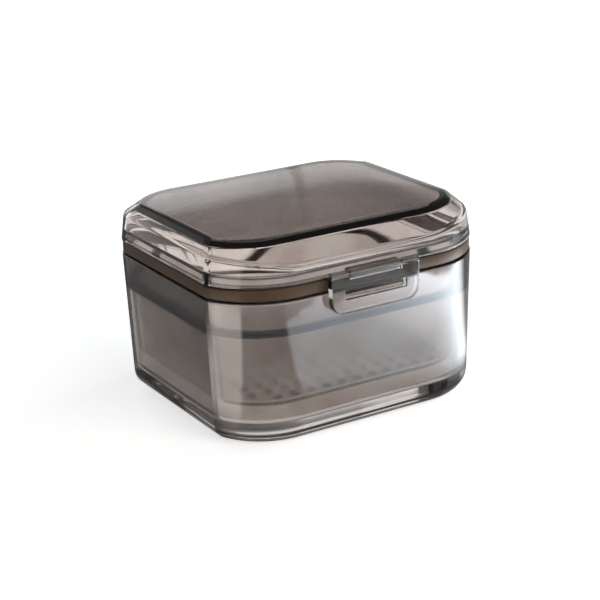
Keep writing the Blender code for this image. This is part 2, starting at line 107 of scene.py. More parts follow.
# The surround's directions, and how far along them its light changes.
WALL_SIDE = (0.5, 0.85, 0)
WALL_RISE = (0, 0.7)
WINDOW_TILT = 0.32
WINDOW_TILT_END = 0.012
POST_START = (0, 0.004)
POST_END = (0.006, 0.012)
FADE_SPAN = (-0.05, 0.04)
OVERHEAD_RISE = (0.18, 0.45)


def length(name, description, millimetres):
    """A length setting. Its default is given in millimetres."""
    return FloatProperty(
        name=name, description=description, default=millimetres / 1000, min=0, precision=5, unit="LENGTH"
    )


def slant(name, description, degrees):
    """An angle setting. Its default is given in degrees."""
    turn = math.radians(degrees)
    return FloatProperty(name=name, description=description, default=turn, subtype="ANGLE")


def tint(name, description, colour):
    """A colour setting."""
    return FloatVectorProperty(
        name=name, description=description, default=colour, min=0, max=1, size=3, subtype="COLOR"
    )


def share(name, description, value):
    """A setting from 0 to 1."""
    return FloatProperty(name=name, description=description, default=value, min=0, max=1, subtype="FACTOR")


def strength(name, description, value):
    """A setting from 0 up, where 1 is white."""
    return FloatProperty(name=name, description=description, default=value, min=0)


class BoxSizes(bpy.types.PropertyGroup):
    """Sizes of the clear box."""

    width: length("Width", "Overall width of the case", 95)
    depth: length("Depth", "Depth of the case without clip and hinges", 88)
    corner_radius: length("Corner Radius", "Radius of the upright corners", 25)
    crease: slant("Corner Crease", "Angle at which a corner meets the side", 20)
    corner_steps: IntProperty(name="Corner Steps", description="Edges round each corner", default=26, min=4)
    height: length("Rim Height", "Height of the box's rim", 45.9)
    wall: length("Wall", "Thickness of the upper wall", 2.4)
    taper: length("Wall Taper", "How far the outer wall draws in towards the base", 1.38)
    base: length("Base Thickness", "Thickness of the base", 6.5)
    base_round: length("Base Round", "Radius round the base", 6)
    floor_round: length("Floor Round", "Radius round the floor inside", 3)
    rim_round: length("Rim Round", "Radius of the rim's edges", 0.4)
    ledge_drop: length("Ledge Drop", "Distance from the rim down to the basket's ledge", 11.3)
    ledge: length("Ledge Width", "Width of the basket's ledge", 1)
    inside_taper: length("Inside Taper", "How far the inside draws in below the ledge", 0.9)
    rib_length: length("Catch Length", "Length of the catch rib", 20.6)
    rib_height: length("Catch Height", "Height of the catch rib", 1.4)
    rib_reach: length("Catch Reach", "How far the catch rib stands out", 2.4)
    rib_drop: length("Catch Drop", "Distance from the rim's round down to the catch rib", 0.2)
    seat_gap: length("Seat Gap", "Gap between pieces that rest on each other", 0.3)
    edge_round: length("Edge Round", "Radius of small moulded edges", 0.3)


class LidSizes(bpy.types.PropertyGroup):
    """Sizes of the lid and its seal."""

    height: length("Height", "Height of the lid above the seal", 12.4)
    wall: length("Wall", "Thickness of the lid", 2.4)
    front_skirt: length("Front Skirt", "Height of the upright part at the front", 5.8)
    side_skirt: length("Side Skirt", "Height of the upright part at the sides", 8.2)
    front_taper: length("Front Taper", "How far the front of the skirt draws in", 0.5)
    side_taper: length("Side Taper", "How far the sides of the skirt draw in", 1.2)
    front_bevel: length("Front Bevel", "Width of the front and back slopes", 9.9)
    side_bevel: length("Side Bevel", "Width of the side slopes", 3.4)
    top_radius: length("Top Radius", "Corner radius of the flat top", 18)
    top_crease: slant("Top Crease", "Angle at which the top's corners meet its sides", 21)
    edge_round: length("Edge Round", "Radius of the lid's outer edges", 0.6)
    panel_lip: length("Panel Lip", "Width of the sloping edge of the frosted panel", 1.2)
    panel_drop: length("Panel Drop", "Height of the sloping edge of the frosted panel", 0.9)
    tongue: length("Tongue Wall", "Thickness of the tongue inside the seal", 1.3)
    tongue_gap: length("Tongue Gap", "Gap between the tongue and the box", 0.35)
    tongue_drop: length("Tongue Drop", "How far the tongue reaches into the box", 1.7)
    shoulder: length("Shoulder Height", "Height of the shoulder over the seal", 2)
    shoulder_slope: length("Shoulder Slope", "Height of the shoulder's slope", 1.2)
    seal_height: length("Seal Height", "Height of the silicone seal", 3.9)
    seal_recess: length("Seal Recess", "How far the seal stands back", 0.3)
    seal_round: length("Seal Round", "Radius of the seal's outer edges", 0.7)


class BasketSizes(bpy.types.PropertyGroup):
    """Sizes of the drain basket."""

    flange: length("Rim Thickness", "Thickness of the basket's rim", 1.4)
    wall: length("Wall", "Thickness of the basket's wall", 1.2)
    rim_gap: length("Rim Gap", "Gap between the rim and the box", 0.3)
    side_gap: length("Side Gap", "Gap between the wall and the ledge", 0.8)
    taper: length("Taper", "How far the wall draws in towards the floor", 1.3)
    floor: length("Floor", "Thickness of the basket's floor", 1.4)
    round: length("Floor Round", "Radius under the floor", 2.5)
    sump: length("Sump Depth", "Space under the basket", 5)
    hole: length("Hole Diameter", "Diameter of the drain holes", 3)
    pitch: length("Hole Spacing", "Distance between the drain holes", 5.5)
    margin: length("Hole Margin", "Distance from the holes to the floor's edge", 2.2)
    hole_sides: IntProperty(name="Hole Sides", description="Edges round each hole", default=20, min=6)


class ClipSizes(bpy.types.PropertyGroup):
    """Sizes of the clip and of the hinges."""

    width: length("Clip Width", "Width of the clip", 31)
    drop: length("Clip Length", "Distance from the clip's pin down to its lower edge", 11.85)
    corner: length("Clip Corner", "Radius of the clip's lower corners", 4.2)
    round: length("Clip Edge", "Radius of the clip's edges", 0.45)
    gap: length("Clip Gap", "Gap between the clip and the box", 0.6)
    knuckle: length("Clip Knuckle", "Radius of the clip's knuckles", 1.35)
    knuckle_width: length("Clip Knuckle Width", "Width of each of the clip's knuckles", 6.2)
    knuckle_clearance: length("Clip Knuckle Clearance", "Gap between the knuckles and the lid", 0.4)
    axis_rise: length("Clip Pin Rise", "Height of the clip's pin over the skirt's lower edge", 0.65)
    pin: length("Clip Pin Radius", "Radius of the clip's pin", 0.5)
    window_height: length("Window Height", "Height of the clip's window", 3)
    window_gap: length("Window End Gap", "Gap between the catch rib's ends and the window", 0.6)
    window_low: length("Window Lower Gap", "Gap under the catch rib", 0.4)
    between: length("Knuckle Gap", "Gap between neighbouring knuckles", 0.3)
    pin_gap: length("Pin Gap", "Gap round each pin", 0.3)
    pin_inset: length("Pin Inset", "How far each pin's ends stand back", 0.3)
    hinge_spacing: length("Hinge Spacing", "Distance between the two hinges", 34)
    hinge_radius: length("Hinge Radius", "Radius of the hinge knuckles", 2.4)
    hinge_offset: length("Hinge Offset", "Distance of the hinge axis behind the box", 3.2)
    hinge_rise: length("Hinge Rise", "Height of the hinge axis over the rim", 1.3)
    hinge_pin: length("Hinge Pin Radius", "Radius of the hinge pins", 0.8)
    lid_knuckle: length("Lid Knuckle", "Width of the lid's knuckle", 8)
    box_knuckle: length("Box Knuckle", "Width of each knuckle of the box", 4)
    box_arm_drop: length("Box Arm Drop", "Distance from the rim down to the box's arm", 4.4)
    box_arm: length("Box Arm", "Height of the root of the box's arm", 5)
    lid_arm_rise: length("Lid Arm Rise", "Height of the lid's arm over the skirt's lower edge", 4.6)
    lid_arm: length("Lid Arm", "Height of the root of the lid's arm", 1)


class CaseLooks(bpy.types.PropertyGroup):
    """Colours and finishes, with the painted shade and the painted reflections, and the studio's light."""

    smoke: tint("Clear Smoke", "Colour that the clear plastic lets through", (0.92, 0.865, 0.835))
    frost: tint("Frosted Smoke", "Colour of the box's frosted faces", (1.0, 0.87, 0.8))
    # The panel's edge colour below is painted shade: near-black, for the dark band round the panel.
    panel_edge_shade: tint("Panel Edge", "Smoke of the sloping edge of the lid's panel", (0.03, 0.025, 0.022))
    panel: tint("Frosted Panel", "Colour of the lid's frosted panel", (0.57, 0.425, 0.395))
    clip: tint("Clip", "Colour that the clip lets through", (0.78, 0.76, 0.745))
    basket: tint("Basket", "Colour of the drain basket", (0.95, 0.91, 0.89))
    # The basket rim's colour below is painted shade: near-black, for the dark line at the basket's rim.
    basket_rim_shade: tint("Basket Rim", "Colour of the basket's rim", (0.05, 0.048, 0.047))
    seal: tint("Seal", "Colour of the silicone seal", (0.082, 0.051, 0.031))
    steel: tint("Pins", "Colour of the steel pins", (0.56, 0.55, 0.54))
    floor: tint("Floor", "Colour of the studio floor", (0.88, 0.88, 0.88))
    floor_glow: share("Floor Glow", "Light that the floor gives by itself", 0.54)
    floor_share: share("Floor Share", "Share of its colour that the floor shows to the case", 0.74)
    floor_white: share("Floor White", "Light that the camera sees on the floor", 0.66)
    # The soft boxes below are painted reflections, which the floor gives off to mirrors though it is no
    # lamp.
    left_box: strength("Left Box", "Light of the left soft box, mirrored low down", 5.0)
    right_box: strength("Right Box", "The same for the right soft box", 15.6)
    right_start: strength("Right Start", "The same near the camera", 3.8)
    left_far: slant("Left Far", "Far edge of the left soft box, from the front of the case", -89)
    left_near: slant("Left Near", "Its near edge", -54)
    right_near: slant("Right Near", "Near edge of the right soft box", -6)
    right_far: slant("Right Far", "Its far edge", 73)
    box_blur: slant("Soft Box Blur", "How soft the edges of the soft boxes look", 5)
    far_blur: slant("Far Blur", "The same for the far edge of the right soft box", 26)
    left_tint: tint("Left Tint", "Colour of the left soft box", (1.0, 0.93, 0.86))
    right_tint: tint("Right Tint", "Colour of the right soft box", (0.82, 0.91, 1.0))
    back_wall: strength("Back Wall", "Light of the window behind the case", 1.12)
    window_turn: slant("Window Turn", "Direction of the window's post from straight behind", 29.8)
    window_low: share("Window Low", "Height at which the window's light starts to fade", 0.252)
    window_high: share("Window High", "Height at which it has faded", 0.282)
    window_dark: share("Window Dark", "Light above the window", 0.32)
    window_fade: share("Window Fade", "How much the window's light falls to the right", 0.35)
    window_post: share("Window Post", "How dark the window's post is", 0.5)
    # Painted reflection on the lid's skirt, and painted shade on the floor seen through the case's bottom.
    skirt_share: share("Skirt Share", "Share of the right soft box that the lid's skirt mirrors", 0.2)
    under_share: share("Floor Under", "Share of the floor's light seen through the bottom", 0.72)
    behind: strength("Floor Behind", "Light of the floor seen behind it", 0.66)
    # Painted shade of the clear plastic: where the box is seen at a slant, most of all above the basket's
    # rim, and along outlines.
    slant_low: share("Slant Shade", "Shade of the box where it is seen at a slant", 0.5)
    slant_high: share("Upper Slant Shade", "The same above the basket's rim", 0.05)
    rim_shade: share("Rim Shade", "Shade of clear plastic along its outlines", 0.25)
    dark_side: share("Dark Side", "Brightness of the studio's dark side", 0.12)
    overhead: share("Overhead", "Brightness of the studio overhead", 0.3)
    room_light: share("Room Light", "Share of the surround's light that falls on matt surfaces", 0.6)
    frosting: share("Frosting", "Roughness of the frosted faces", 0.22)
    polish: share("Polish", "Roughness of the polished faces", 0.03)
    # Painted shade: the dark line on the box's inner wall at the basket's rim.
    seat_line: length("Seat Line", "Height of the dark line where the basket's rim meets the box", 1.4)
    seat_shade: share("Seat Shade", "Brightness of that line", 0.05)
    upper_shade: share("Upper Shade", "Brightness of the frosting above the line", 1.0)
    # Painted shade: the dark lines on the clear plastic over and under the seal.
    edge_shade: share("Edge Shade", "Brightness of the plastic next to the seal", 0.15)
    parting_line: length("Parting Line", "Height of the dark line over and under the seal", 0.55)


def levels():
    """Heights and places that follow from the settings."""
    scene = bpy.context.scene
    box, lid, clip = scene.box_sizes, scene.lid_sizes, scene.clip_sizes
    place = {
        "ledge": box.height - box.ledge_drop,
        "seal_low": box.height + box.seat_gap,
        "tongue_low": box.height - lid.tongue_drop,
        "tongue_inset": box.wall + lid.tongue_gap,
        "front": box.depth / 2,
    }
    place["seal_high"] = place["seal_low"] + lid.seal_height
    place["skirt"] = place["seal_high"] + box.seat_gap
    place["top"] = place["skirt"] + lid.height
    place["rib_high"] = box.height - box.rim_round - box.rib_drop
    place["clip_face"] = -(place["front"] + clip.knuckle_clearance + 2 * clip.knuckle)
    place["clip_back"] = -(place["front"] + clip.gap)
    place["clip_axis"] = Vector((0, place["clip_face"] + clip.knuckle, place["skirt"] + clip.axis_rise))
    place["hinge_axis"] = Vector((0, place["front"] + clip.hinge_offset, box.height + clip.hinge_rise))
    return place


# Modelling helpers.


def take(piece=None):
    """Leaves only this piece selected and active, in object mode, or nothing selected."""
    if bpy.context.object and bpy.context.object.mode != "OBJECT":
        bpy.ops.object.mode_set(mode="OBJECT")
    bpy.ops.object.select_all(action="DESELECT")
    if piece:
        bpy.context.view_layer.objects.active = piece
        piece.select_set(True)


def apply_place():
    """Puts the active object's place, turn and scale into its mesh."""
    bpy.ops.object.transform_apply(location=True, rotation=True, scale=True)


def pick(kind, wanted):
    """Selects the edges or corners that are wanted, in edit mode."""
    bpy.ops.mesh.select_mode(type=kind)
    bpy.ops.mesh.select_all(action="DESELECT")
    data = bpy.context.object.data
    mesh = bmesh.from_edit_mesh(data)
    for item in mesh.edges if kind == "EDGE" else mesh.verts:
        item.select_set(wanted(item))
    bmesh.update_edit_mesh(data)


def round_edges(wanted, radius, segments):
    """Bevels the active object's edges that are wanted."""
    bpy.ops.object.mode_set(mode="EDIT")
    pick("EDGE", wanted)
    bpy.ops.mesh.bevel(offset=radius, segments=segments, affect="EDGES")
    bpy.ops.object.mode_set(mode="OBJECT")


def modify(piece, kind, **settings):
    """Adds a modifier with its settings and applies it."""
    modifier = piece.modifiers.new(kind.title(), kind)
    for name, value in settings.items():
        setattr(modifier, name, value)
    bpy.ops.object.modifier_apply(modifier=modifier.name)


def outline(inset_front, inset_side, radius, crease, level_front, level_side=None):
    """Points round the case at an inset, against the clock as seen from above.

    The corner arcs end at the side planes in a crease. The level runs from level_front to level_side.
    """
    box = bpy.context.scene.box_sizes
    level_side = level_front if level_side is None else level_side
    half_width = box.width / 2 - inset_side
    half_depth = box.depth / 2 - inset_front
    reach = radius * math.cos(crease)
    steps = box.corner_steps
    turns = [crease + (math.pi / 2 - crease) * step / steps for step in range(steps + 1)]
    points = []
    for side_x, side_y in ((1, 1), (-1, 1), (-1, -1), (1, -1)):
        corner = []
        for turn in turns:
            across = radius * math.cos(turn)
            along = half_depth - radius + radius * math.sin(turn)
            level = level_front + (level_side - level_front) * across / reach
            corner.append(Vector((side_x * (half_width - reach + across), side_y * along, level)))
        if side_x != side_y:
            corner.reverse()
        points.extend(corner)
    return points


def inset_outline(inset, level):
    """The box's outline at an even inset, with the corner arcs on their own centres."""
    box = bpy.context.scene.box_sizes
    radius = box.corner_radius - inset
    crease = math.acos(max(min((box.corner_radius * math.cos(box.crease) - inset) / radius, 1), 0))
    return outline(inset, inset, radius, crease, level)


def pick_loop(count, number):
    """Selects the edges of one loop of a skin, in edit mode."""
    pick("EDGE", lambda edge: {vertex.index // count for vertex in edge.verts} == {number})


def lay_loop(points, last):
    """Lays a loop that was just extruded on its points, and gives its corners' numbers in their order.

    last holds the numbers of the loop that it was extruded from.
    """
    mesh = bmesh.from_edit_mesh(bpy.context.object.data)
    mesh.verts.index_update()
    mesh.verts.ensure_lookup_table()
    start = len(mesh.verts) - len(points)
    laid = []
    for number, point in zip(last, points):
        corner = mesh.verts[number]
        ends = [edge.other_vert(corner) for edge in corner.link_edges]
        fresh = next(end for end in ends if end.index >= start)
        fresh.co = point
        laid.append(fresh.index)
    bmesh.update_edit_mesh(bpy.context.object.data)
    return laid


def weigh_edges(piece, loops, rounds, crease_round):
    """Gives a skin's edges their bevel weights, where 1 stands for the widest rounding."""
    count = len(loops[0])
    reaches = [max(abs(point.x) for point in points) for points in loops]
    weights = piece.data.attributes.new("bevel_weight_edge", "FLOAT", "EDGE")
    for edge in piece.data.edges:
        rings = [vertex // count % len(loops) for vertex in edge.vertices]
        ends = [abs(piece.data.vertices[vertex].co.x) for vertex in edge.vertices]
        radius = 0
        if rings[0] == rings[1]:
            radius = rounds[rings[0]]
        elif all(reaches[ring] - end < TOUCHING for ring, end in zip(rings, ends)):
            radius = crease_round
        weights.data[edge.index].value = radius / max(rounds)


def skin(name, rings, finishes, others=None, closed=False, segments=8, crease_round=0.0):
    """Extrudes a loop of points through all the others into one closed piece, and rounds its edges.

    rings pairs each loop with its edges' radius. others gives the finish's number for the bands and
    ends that don't have the first.
    """
    loops, rounds = zip(*rings)
    count = len(loops[0])
    take()
    bpy.ops.mesh.primitive_circle_add(vertices=count, radius=0.01)
    piece = bpy.context.object
    piece.name = piece.data.name = name
    for vertex, point in zip(piece.data.vertices, loops[0]):
        vertex.co = point
    bpy.ops.object.mode_set(mode="EDIT")
    laid = range(count)
    for number, points in enumerate(loops[1:] + loops[: int(closed)]):
        pick_loop(count, number)
        bpy.ops.mesh.extrude_edges_move()
        laid = lay_loop(points, laid)
    if not closed:
        for number in (0, len(loops) - 1):
            pick_loop(count, number)
            bpy.ops.mesh.edge_face_add()
    bpy.ops.object.mode_set(mode="OBJECT")
    for title in finishes:
        piece.data.materials.append(finish(title))
    for face in piece.data.polygons:
        numbers = {vertex // count for vertex in face.vertices}
        band = min(numbers) if len(numbers) > 1 else ("first", "last")[max(numbers) > 0]
        face.material_index = (others or {}).get(band, 0)
    weigh_edges(piece, loops, rounds, crease_round)
    bpy.ops.object.mode_set(mode="EDIT")
    bpy.ops.mesh.select_all(action="SELECT")
    bpy.ops.mesh.remove_doubles(threshold=MERGED)
    bpy.ops.mesh.normals_make_consistent(inside=False)
    bpy.ops.object.mode_set(mode="OBJECT")
    widest = {"width": max(rounds), "segments": segments, "use_clamp_overlap": False}
    modify(piece, "BEVEL", limit_method="WEIGHT", **widest)
    return piece


def block(low, high, rounding=0.0):
    """A block between two corners, with rounded edges."""
    take()
    low, high = Vector(low), Vector(high)
    bpy.ops.mesh.primitive_cube_add(size=1, location=(high + low) / 2, scale=high - low)
    apply_place()
    if rounding:
        round_edges(lambda edge: True, rounding, segments=3)
    return bpy.context.object


def barrel(centre, radius, width, rounding=0.0, sides=48):
    """A cylinder along X, with rounded rims."""
    take()
    bpy.ops.mesh.primitive_cylinder_add(
        vertices=sides, radius=radius, depth=width, location=centre, rotation=(0, math.pi / 2, 0)
    )
    apply_place()

    def rim(edge):
        return abs(edge.verts[0].co.x - edge.verts[1].co.x) < width / 2

    if rounding:
        round_edges(rim, rounding, segments=3)
    return bpy.context.object


def arm(start, stop, axis, radius, root_y, root_low, root_high, rounding):
    """A knuckle on its arm: a barrel and its root wrapped in one hull."""
    middle, width = (start + stop) / 2, abs(stop - start)
    depth = math.copysign(ROOT_DEPTH, root_y)
    piece = barrel((middle, axis.y, axis.z), radius, width)
    bpy.ops.object.mode_set(mode="EDIT")
    bpy.ops.mesh.primitive_cube_add(
        size=1,
        location=(middle, root_y - depth / 2, (root_low + root_high) / 2),
        scale=(width, abs(depth), root_high - root_low),
    )
    bpy.ops.mesh.select_all(action="SELECT")
    bpy.ops.mesh.convex_hull()
    bpy.ops.mesh.select_all(action="SELECT")
    bpy.ops.mesh.dissolve_limited(angle_limit=FLAT_TURN)
    bpy.ops.mesh.select_all(action="SELECT")
    bpy.ops.mesh.normals_make_consistent(inside=False)
    bpy.ops.object.mode_set(mode="OBJECT")
    modify(piece, "BEVEL", width=rounding, segments=3, limit_method="ANGLE", angle_limit=SHARP_TURN)
    return piece


def carve(piece, tool, operation):
    """Joins a tool to a piece or cuts it out, and removes the tool."""
    take(piece)
    modify(piece, "BOOLEAN", operation=operation, solver="EXACT", object=tool)
    bpy.data.objects.remove(tool)


def settle(piece, name, node, body, finishes=(), angle=16):
    """Finishes a piece: smooth faces, its finishes, and its place on its body."""
    take(piece)
    apply_place()
    bpy.ops.object.shade_smooth_by_angle(angle=math.radians(angle))
    piece.name = piece.data.name = name
    for title in finishes:
        piece.data.materials.append(finish(title))
    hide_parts(node)
    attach(piece, body)


# Nodes.


def add_node(tree, kind, inputs=(), **fields):
    """Adds a shader node with its fields, and sets its inputs or links them to outputs."""
    node = tree.nodes.new("ShaderNode" + kind)
    for name, value in fields.items():
        setattr(node, name, value)
    for name, value in dict(inputs).items():
        if isinstance(value, bpy.types.NodeSocket):
            tree.links.new(value, node.inputs[name])
        else:
            node.inputs[name].default_value = value
    return node


def compute(tree, operation, *values):
    """The result of a Math node."""
    return add_node(tree, "Math", enumerate(values), operation=operation).outputs[0]


def chain(tree, operation, first, *others):
    """The result of an operation over several values, one after the other."""
    for other in others:
        first = compute(tree, operation, first, other)
    return first


def ramp(tree, value, span, ends=(0, 1), kind="SMOOTHSTEP"):
    """A value that runs from one end to the other while another one crosses a span."""
    titles = ("Value", "From Min", "From Max", "To Min", "To Max")
    inputs = dict(zip(titles, (value, *span, *ends)))
    return add_node(tree, "MapRange", inputs, interpolation_type=kind).outputs["Result"]


def along(tree, vector, direction):
    """How far a vector reaches along a direction."""
    return add_node(tree, "VectorMath", {0: vector, 1: direction}, operation="DOT_PRODUCT").outputs["Value"]


def object_place(tree):
    """The shaded point, in the object's coordinates."""
    return add_node(tree, "TexCoord").outputs["Object"]


def height_of(tree, place=None):
    """The height of a point, which is the shaded one unless another is given."""
    return add_node(tree, "SeparateXYZ", {0: place or object_place(tree)}).outputs["Z"]


def noise(tree, place, scale, detail, roughness):
    """A noise texture's value."""
    inputs = {"Vector": place, "Scale": scale, "Detail": detail, "Roughness": roughness}
    return add_node(tree, "TexNoise", inputs).outputs["Fac"]


def mixed(tree, first, second, factor, **fields):
    """A mix of two colours."""
    inputs = {"A": first, "B": second, "Factor": factor}
    return add_node(tree, "Mix", inputs, data_type="RGBA", **fields).outputs["Result"]


def arrange(tree):
    """Lays out a tree's nodes in columns, by the number of links between them and its end."""
    columns = dict.fromkeys(tree.nodes.keys(), 0)
    for _ in tree.nodes:
        for link in tree.links:
            column = columns[link.to_node.name] + 1
            columns[link.from_node.name] = max(columns[link.from_node.name], column)
    filled = {}
    for node in tree.nodes:
        column = columns[node.name]
        filled[column] = filled.get(column, 0) + 1
        node.location = (-220 * column, -220 * filled[column])


# Node groups.


def frosting(group, given):
    """Fine moulded frosting: a grain for the bump, and roughness and tone with specks and soft clouds."""
    place = object_place(group)
    cloud = compute(group, "SUBTRACT", noise(group, place, scale=60.0, detail=3.0, roughness=0.5), 0.5)
    speck = compute(group, "SUBTRACT", noise(group, place, scale=1300.0, detail=1.0, roughness=0.5), 0.5)
    specked = compute(group, "MULTIPLY_ADD", speck, given["Mottling"], 1.0)
    spread = given["Roughness Spread"]
    return {
        "Height": noise(group, place, given["Grain Scale"], detail=3.0, roughness=0.6),
        "Roughness": compute(group, "MULTIPLY_ADD", cloud, spread, given["Roughness"]),
        "Tone": compute(group, "MULTIPLY_ADD", cloud, given["Clouds"], specked),
    }


def handling(group, given):
    """Signs of handling on a polished face: soft smears, fine hairlines and a slight waviness."""
    place = object_place(group)
    stretch = {"Vector": place, "Rotation": (0.3, 0.5, 0.7), "Scale": (1.0, 14.0, 1.0)}
    turned = add_node(group, "Mapping", stretch).outputs["Vector"]
    smear = noise(group, place, scale=45.0, detail=3.0, roughness=0.6)
    smear = ramp(group, smear, SMEAR_SPAN, kind="LINEAR")
    hair = noise(group, turned, scale=120.0, detail=2.0, roughness=0.7)
    hair = ramp(group, hair, HAIR_SPAN, kind="LINEAR")
    smeared = compute(group, "MULTIPLY_ADD", smear, given["Smears"], given["Roughness"])
    return {
        "Height": noise(group, place, scale=28.0, detail=1.0, roughness=0.4),
        "Roughness": compute(group, "MULTIPLY_ADD", hair, given["Hairlines"], smeared),
        "Tone": compute(group, "MULTIPLY_ADD", smear, SMEAR_TONE, 1.0),
    }


def studio_sides(group, given):
    """How brightly each side of the studio shines, with two soft boxes beside the camera."""
    looks = bpy.context.scene.case_looks
    split = add_node(group, "SeparateXYZ", {0: given["Place"]}).outputs
    turn = compute(group, "ARCTAN2", split["X"], compute(group, "MULTIPLY", split["Y"], -1.0))
    half_box, half_far = looks.box_blur / 2, looks.far_blur / 2
    sides = {
        "Left": ((looks.left_far, half_far / 2), (looks.left_near, half_box)),
        "Right": ((looks.right_near, half_box), (looks.right_far, half_far)),
    }
    shares = {}
    for name, ((start, start_blur), (end, end_blur)) in sides.items():
        rise = ramp(group, turn, (start - start_blur, start + start_blur))
        fall = ramp(group, turn, (end - end_blur, end + end_blur), (1, 0))
        shares[name] = compute(group, "MULTIPLY", rise, fall)
    return shares


# Each group's builder, inputs and outputs.
GROUPS = {
    "Moulded Frosting": (
        frosting,
        {"Grain Scale": 1500.0, "Roughness": 0.4, "Roughness Spread": 0.08, "Mottling": 0.1, "Clouds": 0.1},
        ("Height", "Roughness", "Tone"),
    ),
    "Handling Marks": (
        handling,
        {"Roughness": 0.03, "Smears": 0.03, "Hairlines": 0.04},
        ("Height", "Roughness", "Tone"),
    ),
    "Studio Sides": (studio_sides, {"Place": (0, 0, 0)}, ("Left", "Right")),
}


def shared_group(name):
    """One of the node groups, which is built when it is first asked for."""
    if name in bpy.data.node_groups:
        return bpy.data.node_groups[name]
    build, inputs, outputs = GROUPS[name]
    group = bpy.data.node_groups.new(name, "ShaderNodeTree")
    for title, value in inputs.items():
        kind = "NodeSocketVector" if isinstance(value, tuple) else "NodeSocketFloat"
        socket = group.interface.new_socket(name=title, in_out="INPUT", socket_type=kind)
        socket.default_value = value
    for title in outputs:
        group.interface.new_socket(name=title, in_out="OUTPUT", socket_type="NodeSocketFloat")
    given, out = group.nodes.new("NodeGroupInput"), group.nodes.new("NodeGroupOutput")
    for title, result in build(group, given.outputs).items():
        group.links.new(result, out.inputs[title])
    arrange(group)
    return group


# Finishes and painted shade.


def parting_shading(tree):
    """Paints shade on the clear plastic just over and under the seal, as dark lines along its edges."""
    looks = bpy.context.scene.case_looks
    place = levels()
    middle = (place["seal_low"] + place["seal_high"]) / 2
    reach = (place["seal_high"] - place["seal_low"]) / 2 + looks.parting_line
    away = compute(tree, "ABSOLUTE", compute(tree, "SUBTRACT", height_of(tree), middle))
    outer = ramp(tree, away, (reach, reach + looks.parting_line / 2), (looks.edge_shade, 1))
    return compute(tree, "MAXIMUM", outer, compute(tree, "LESS_THAN", away, reach - looks.parting_line))


def rim_shading(tree):
    """Paints shade on clear plastic where it turns away, along its outlines, and next to the seal."""
    looks = bpy.context.scene.case_looks
    facing = add_node(tree, "LayerWeight").outputs["Facing"]
    turned = ramp(tree, facing, OUTLINE_TURN, (1, looks.rim_shade))
    return compute(tree, "MULTIPLY", turned, parting_shading(tree))


def slant_shading(tree):
    """Paints shade on the box's plastic where it is seen at a slant, most of all above the basket's rim,
    over the painted shade along its outlines and next to the seal.
    """
    looks = bpy.context.scene.case_looks
    ledge = levels()["ledge"]
    border = (ledge - LEDGE_BORDER, ledge + LEDGE_BORDER)
    shade = ramp(tree, height_of(tree), border, (looks.slant_low, looks.slant_high))
    facing = add_node(tree, "LayerWeight").outputs["Facing"]
    slope = ramp(tree, facing, SLANT_TURN, (1, shade), "LINEAR")
    return compute(tree, "MULTIPLY", slope, rim_shading(tree))


def seat_shading(tree):
    """Paints shade on the box's inner wall: a dark line where the basket's rim lies against it, fading a
    little above it.
    """
    box, looks = bpy.context.scene.box_sizes, bpy.context.scene.case_looks
    ledge = levels()["ledge"]
    height = height_of(tree)
    span = (ledge + looks.seat_line, ledge + 2 * looks.seat_line)
    above = ramp(tree, height, span, (looks.seat_shade, looks.upper_shade))
    return compute(tree, "MAXIMUM", above, compute(tree, "LESS_THAN", height, ledge + box.seat_gap / 3))


def plastic(name, group, colour, values, depth, shading=None, **settings):
    """Makes a Principled material whose colour, roughness and bump follow one of the finish groups.

    shading gives an output of the material's nodes that shades its colour further.
    """
    material = bpy.data.materials.new(name)
    material.use_nodes = True
    tree = material.node_tree
    shader = tree.nodes["Principled BSDF"]
    marks = add_node(tree, "Group", values, node_tree=shared_group(group))
    tone = marks.outputs["Tone"]
    if shading:
        tone = compute(tree, "MULTIPLY", tone, shading(tree))
    relief = {"Strength": 1.0, "Distance": depth, "Height": marks.outputs["Height"]}
    bump = add_node(tree, "Bump", relief)
    shaded = mixed(tree, (*colour, 1), tone, 1.0, blend_type="MULTIPLY")
    tree.links.new(shaded, shader.inputs["Base Color"])
    tree.links.new(marks.outputs["Roughness"], shader.inputs["Roughness"])
    tree.links.new(bump.outputs["Normal"], shader.inputs["Normal"])
    for title, value in settings.items():
        shader.inputs[title.replace("_", " ")].default_value = value
    arrange(tree)


def polished(name, colour, depth, roughness, smears, hairlines, shading=None, **settings):
    """Makes a polished material with signs of handling."""
    values = {"Roughness": roughness, "Smears": smears, "Hairlines": hairlines}
    plastic(name, "Handling Marks", colour, values, depth, shading, **settings)


def frosted(name, colour, depth, scale, roughness, spread, mottling, clouds=0.1, shading=None, **settings):
    """Makes a frosted or matt moulded material."""
    values = {
        "Grain Scale": scale,
        "Roughness": roughness,
        "Roughness Spread": spread,
        "Mottling": mottling,
        "Clouds": clouds,
    }
    plastic(name, "Moulded Frosting", colour, values, depth, shading, **settings)


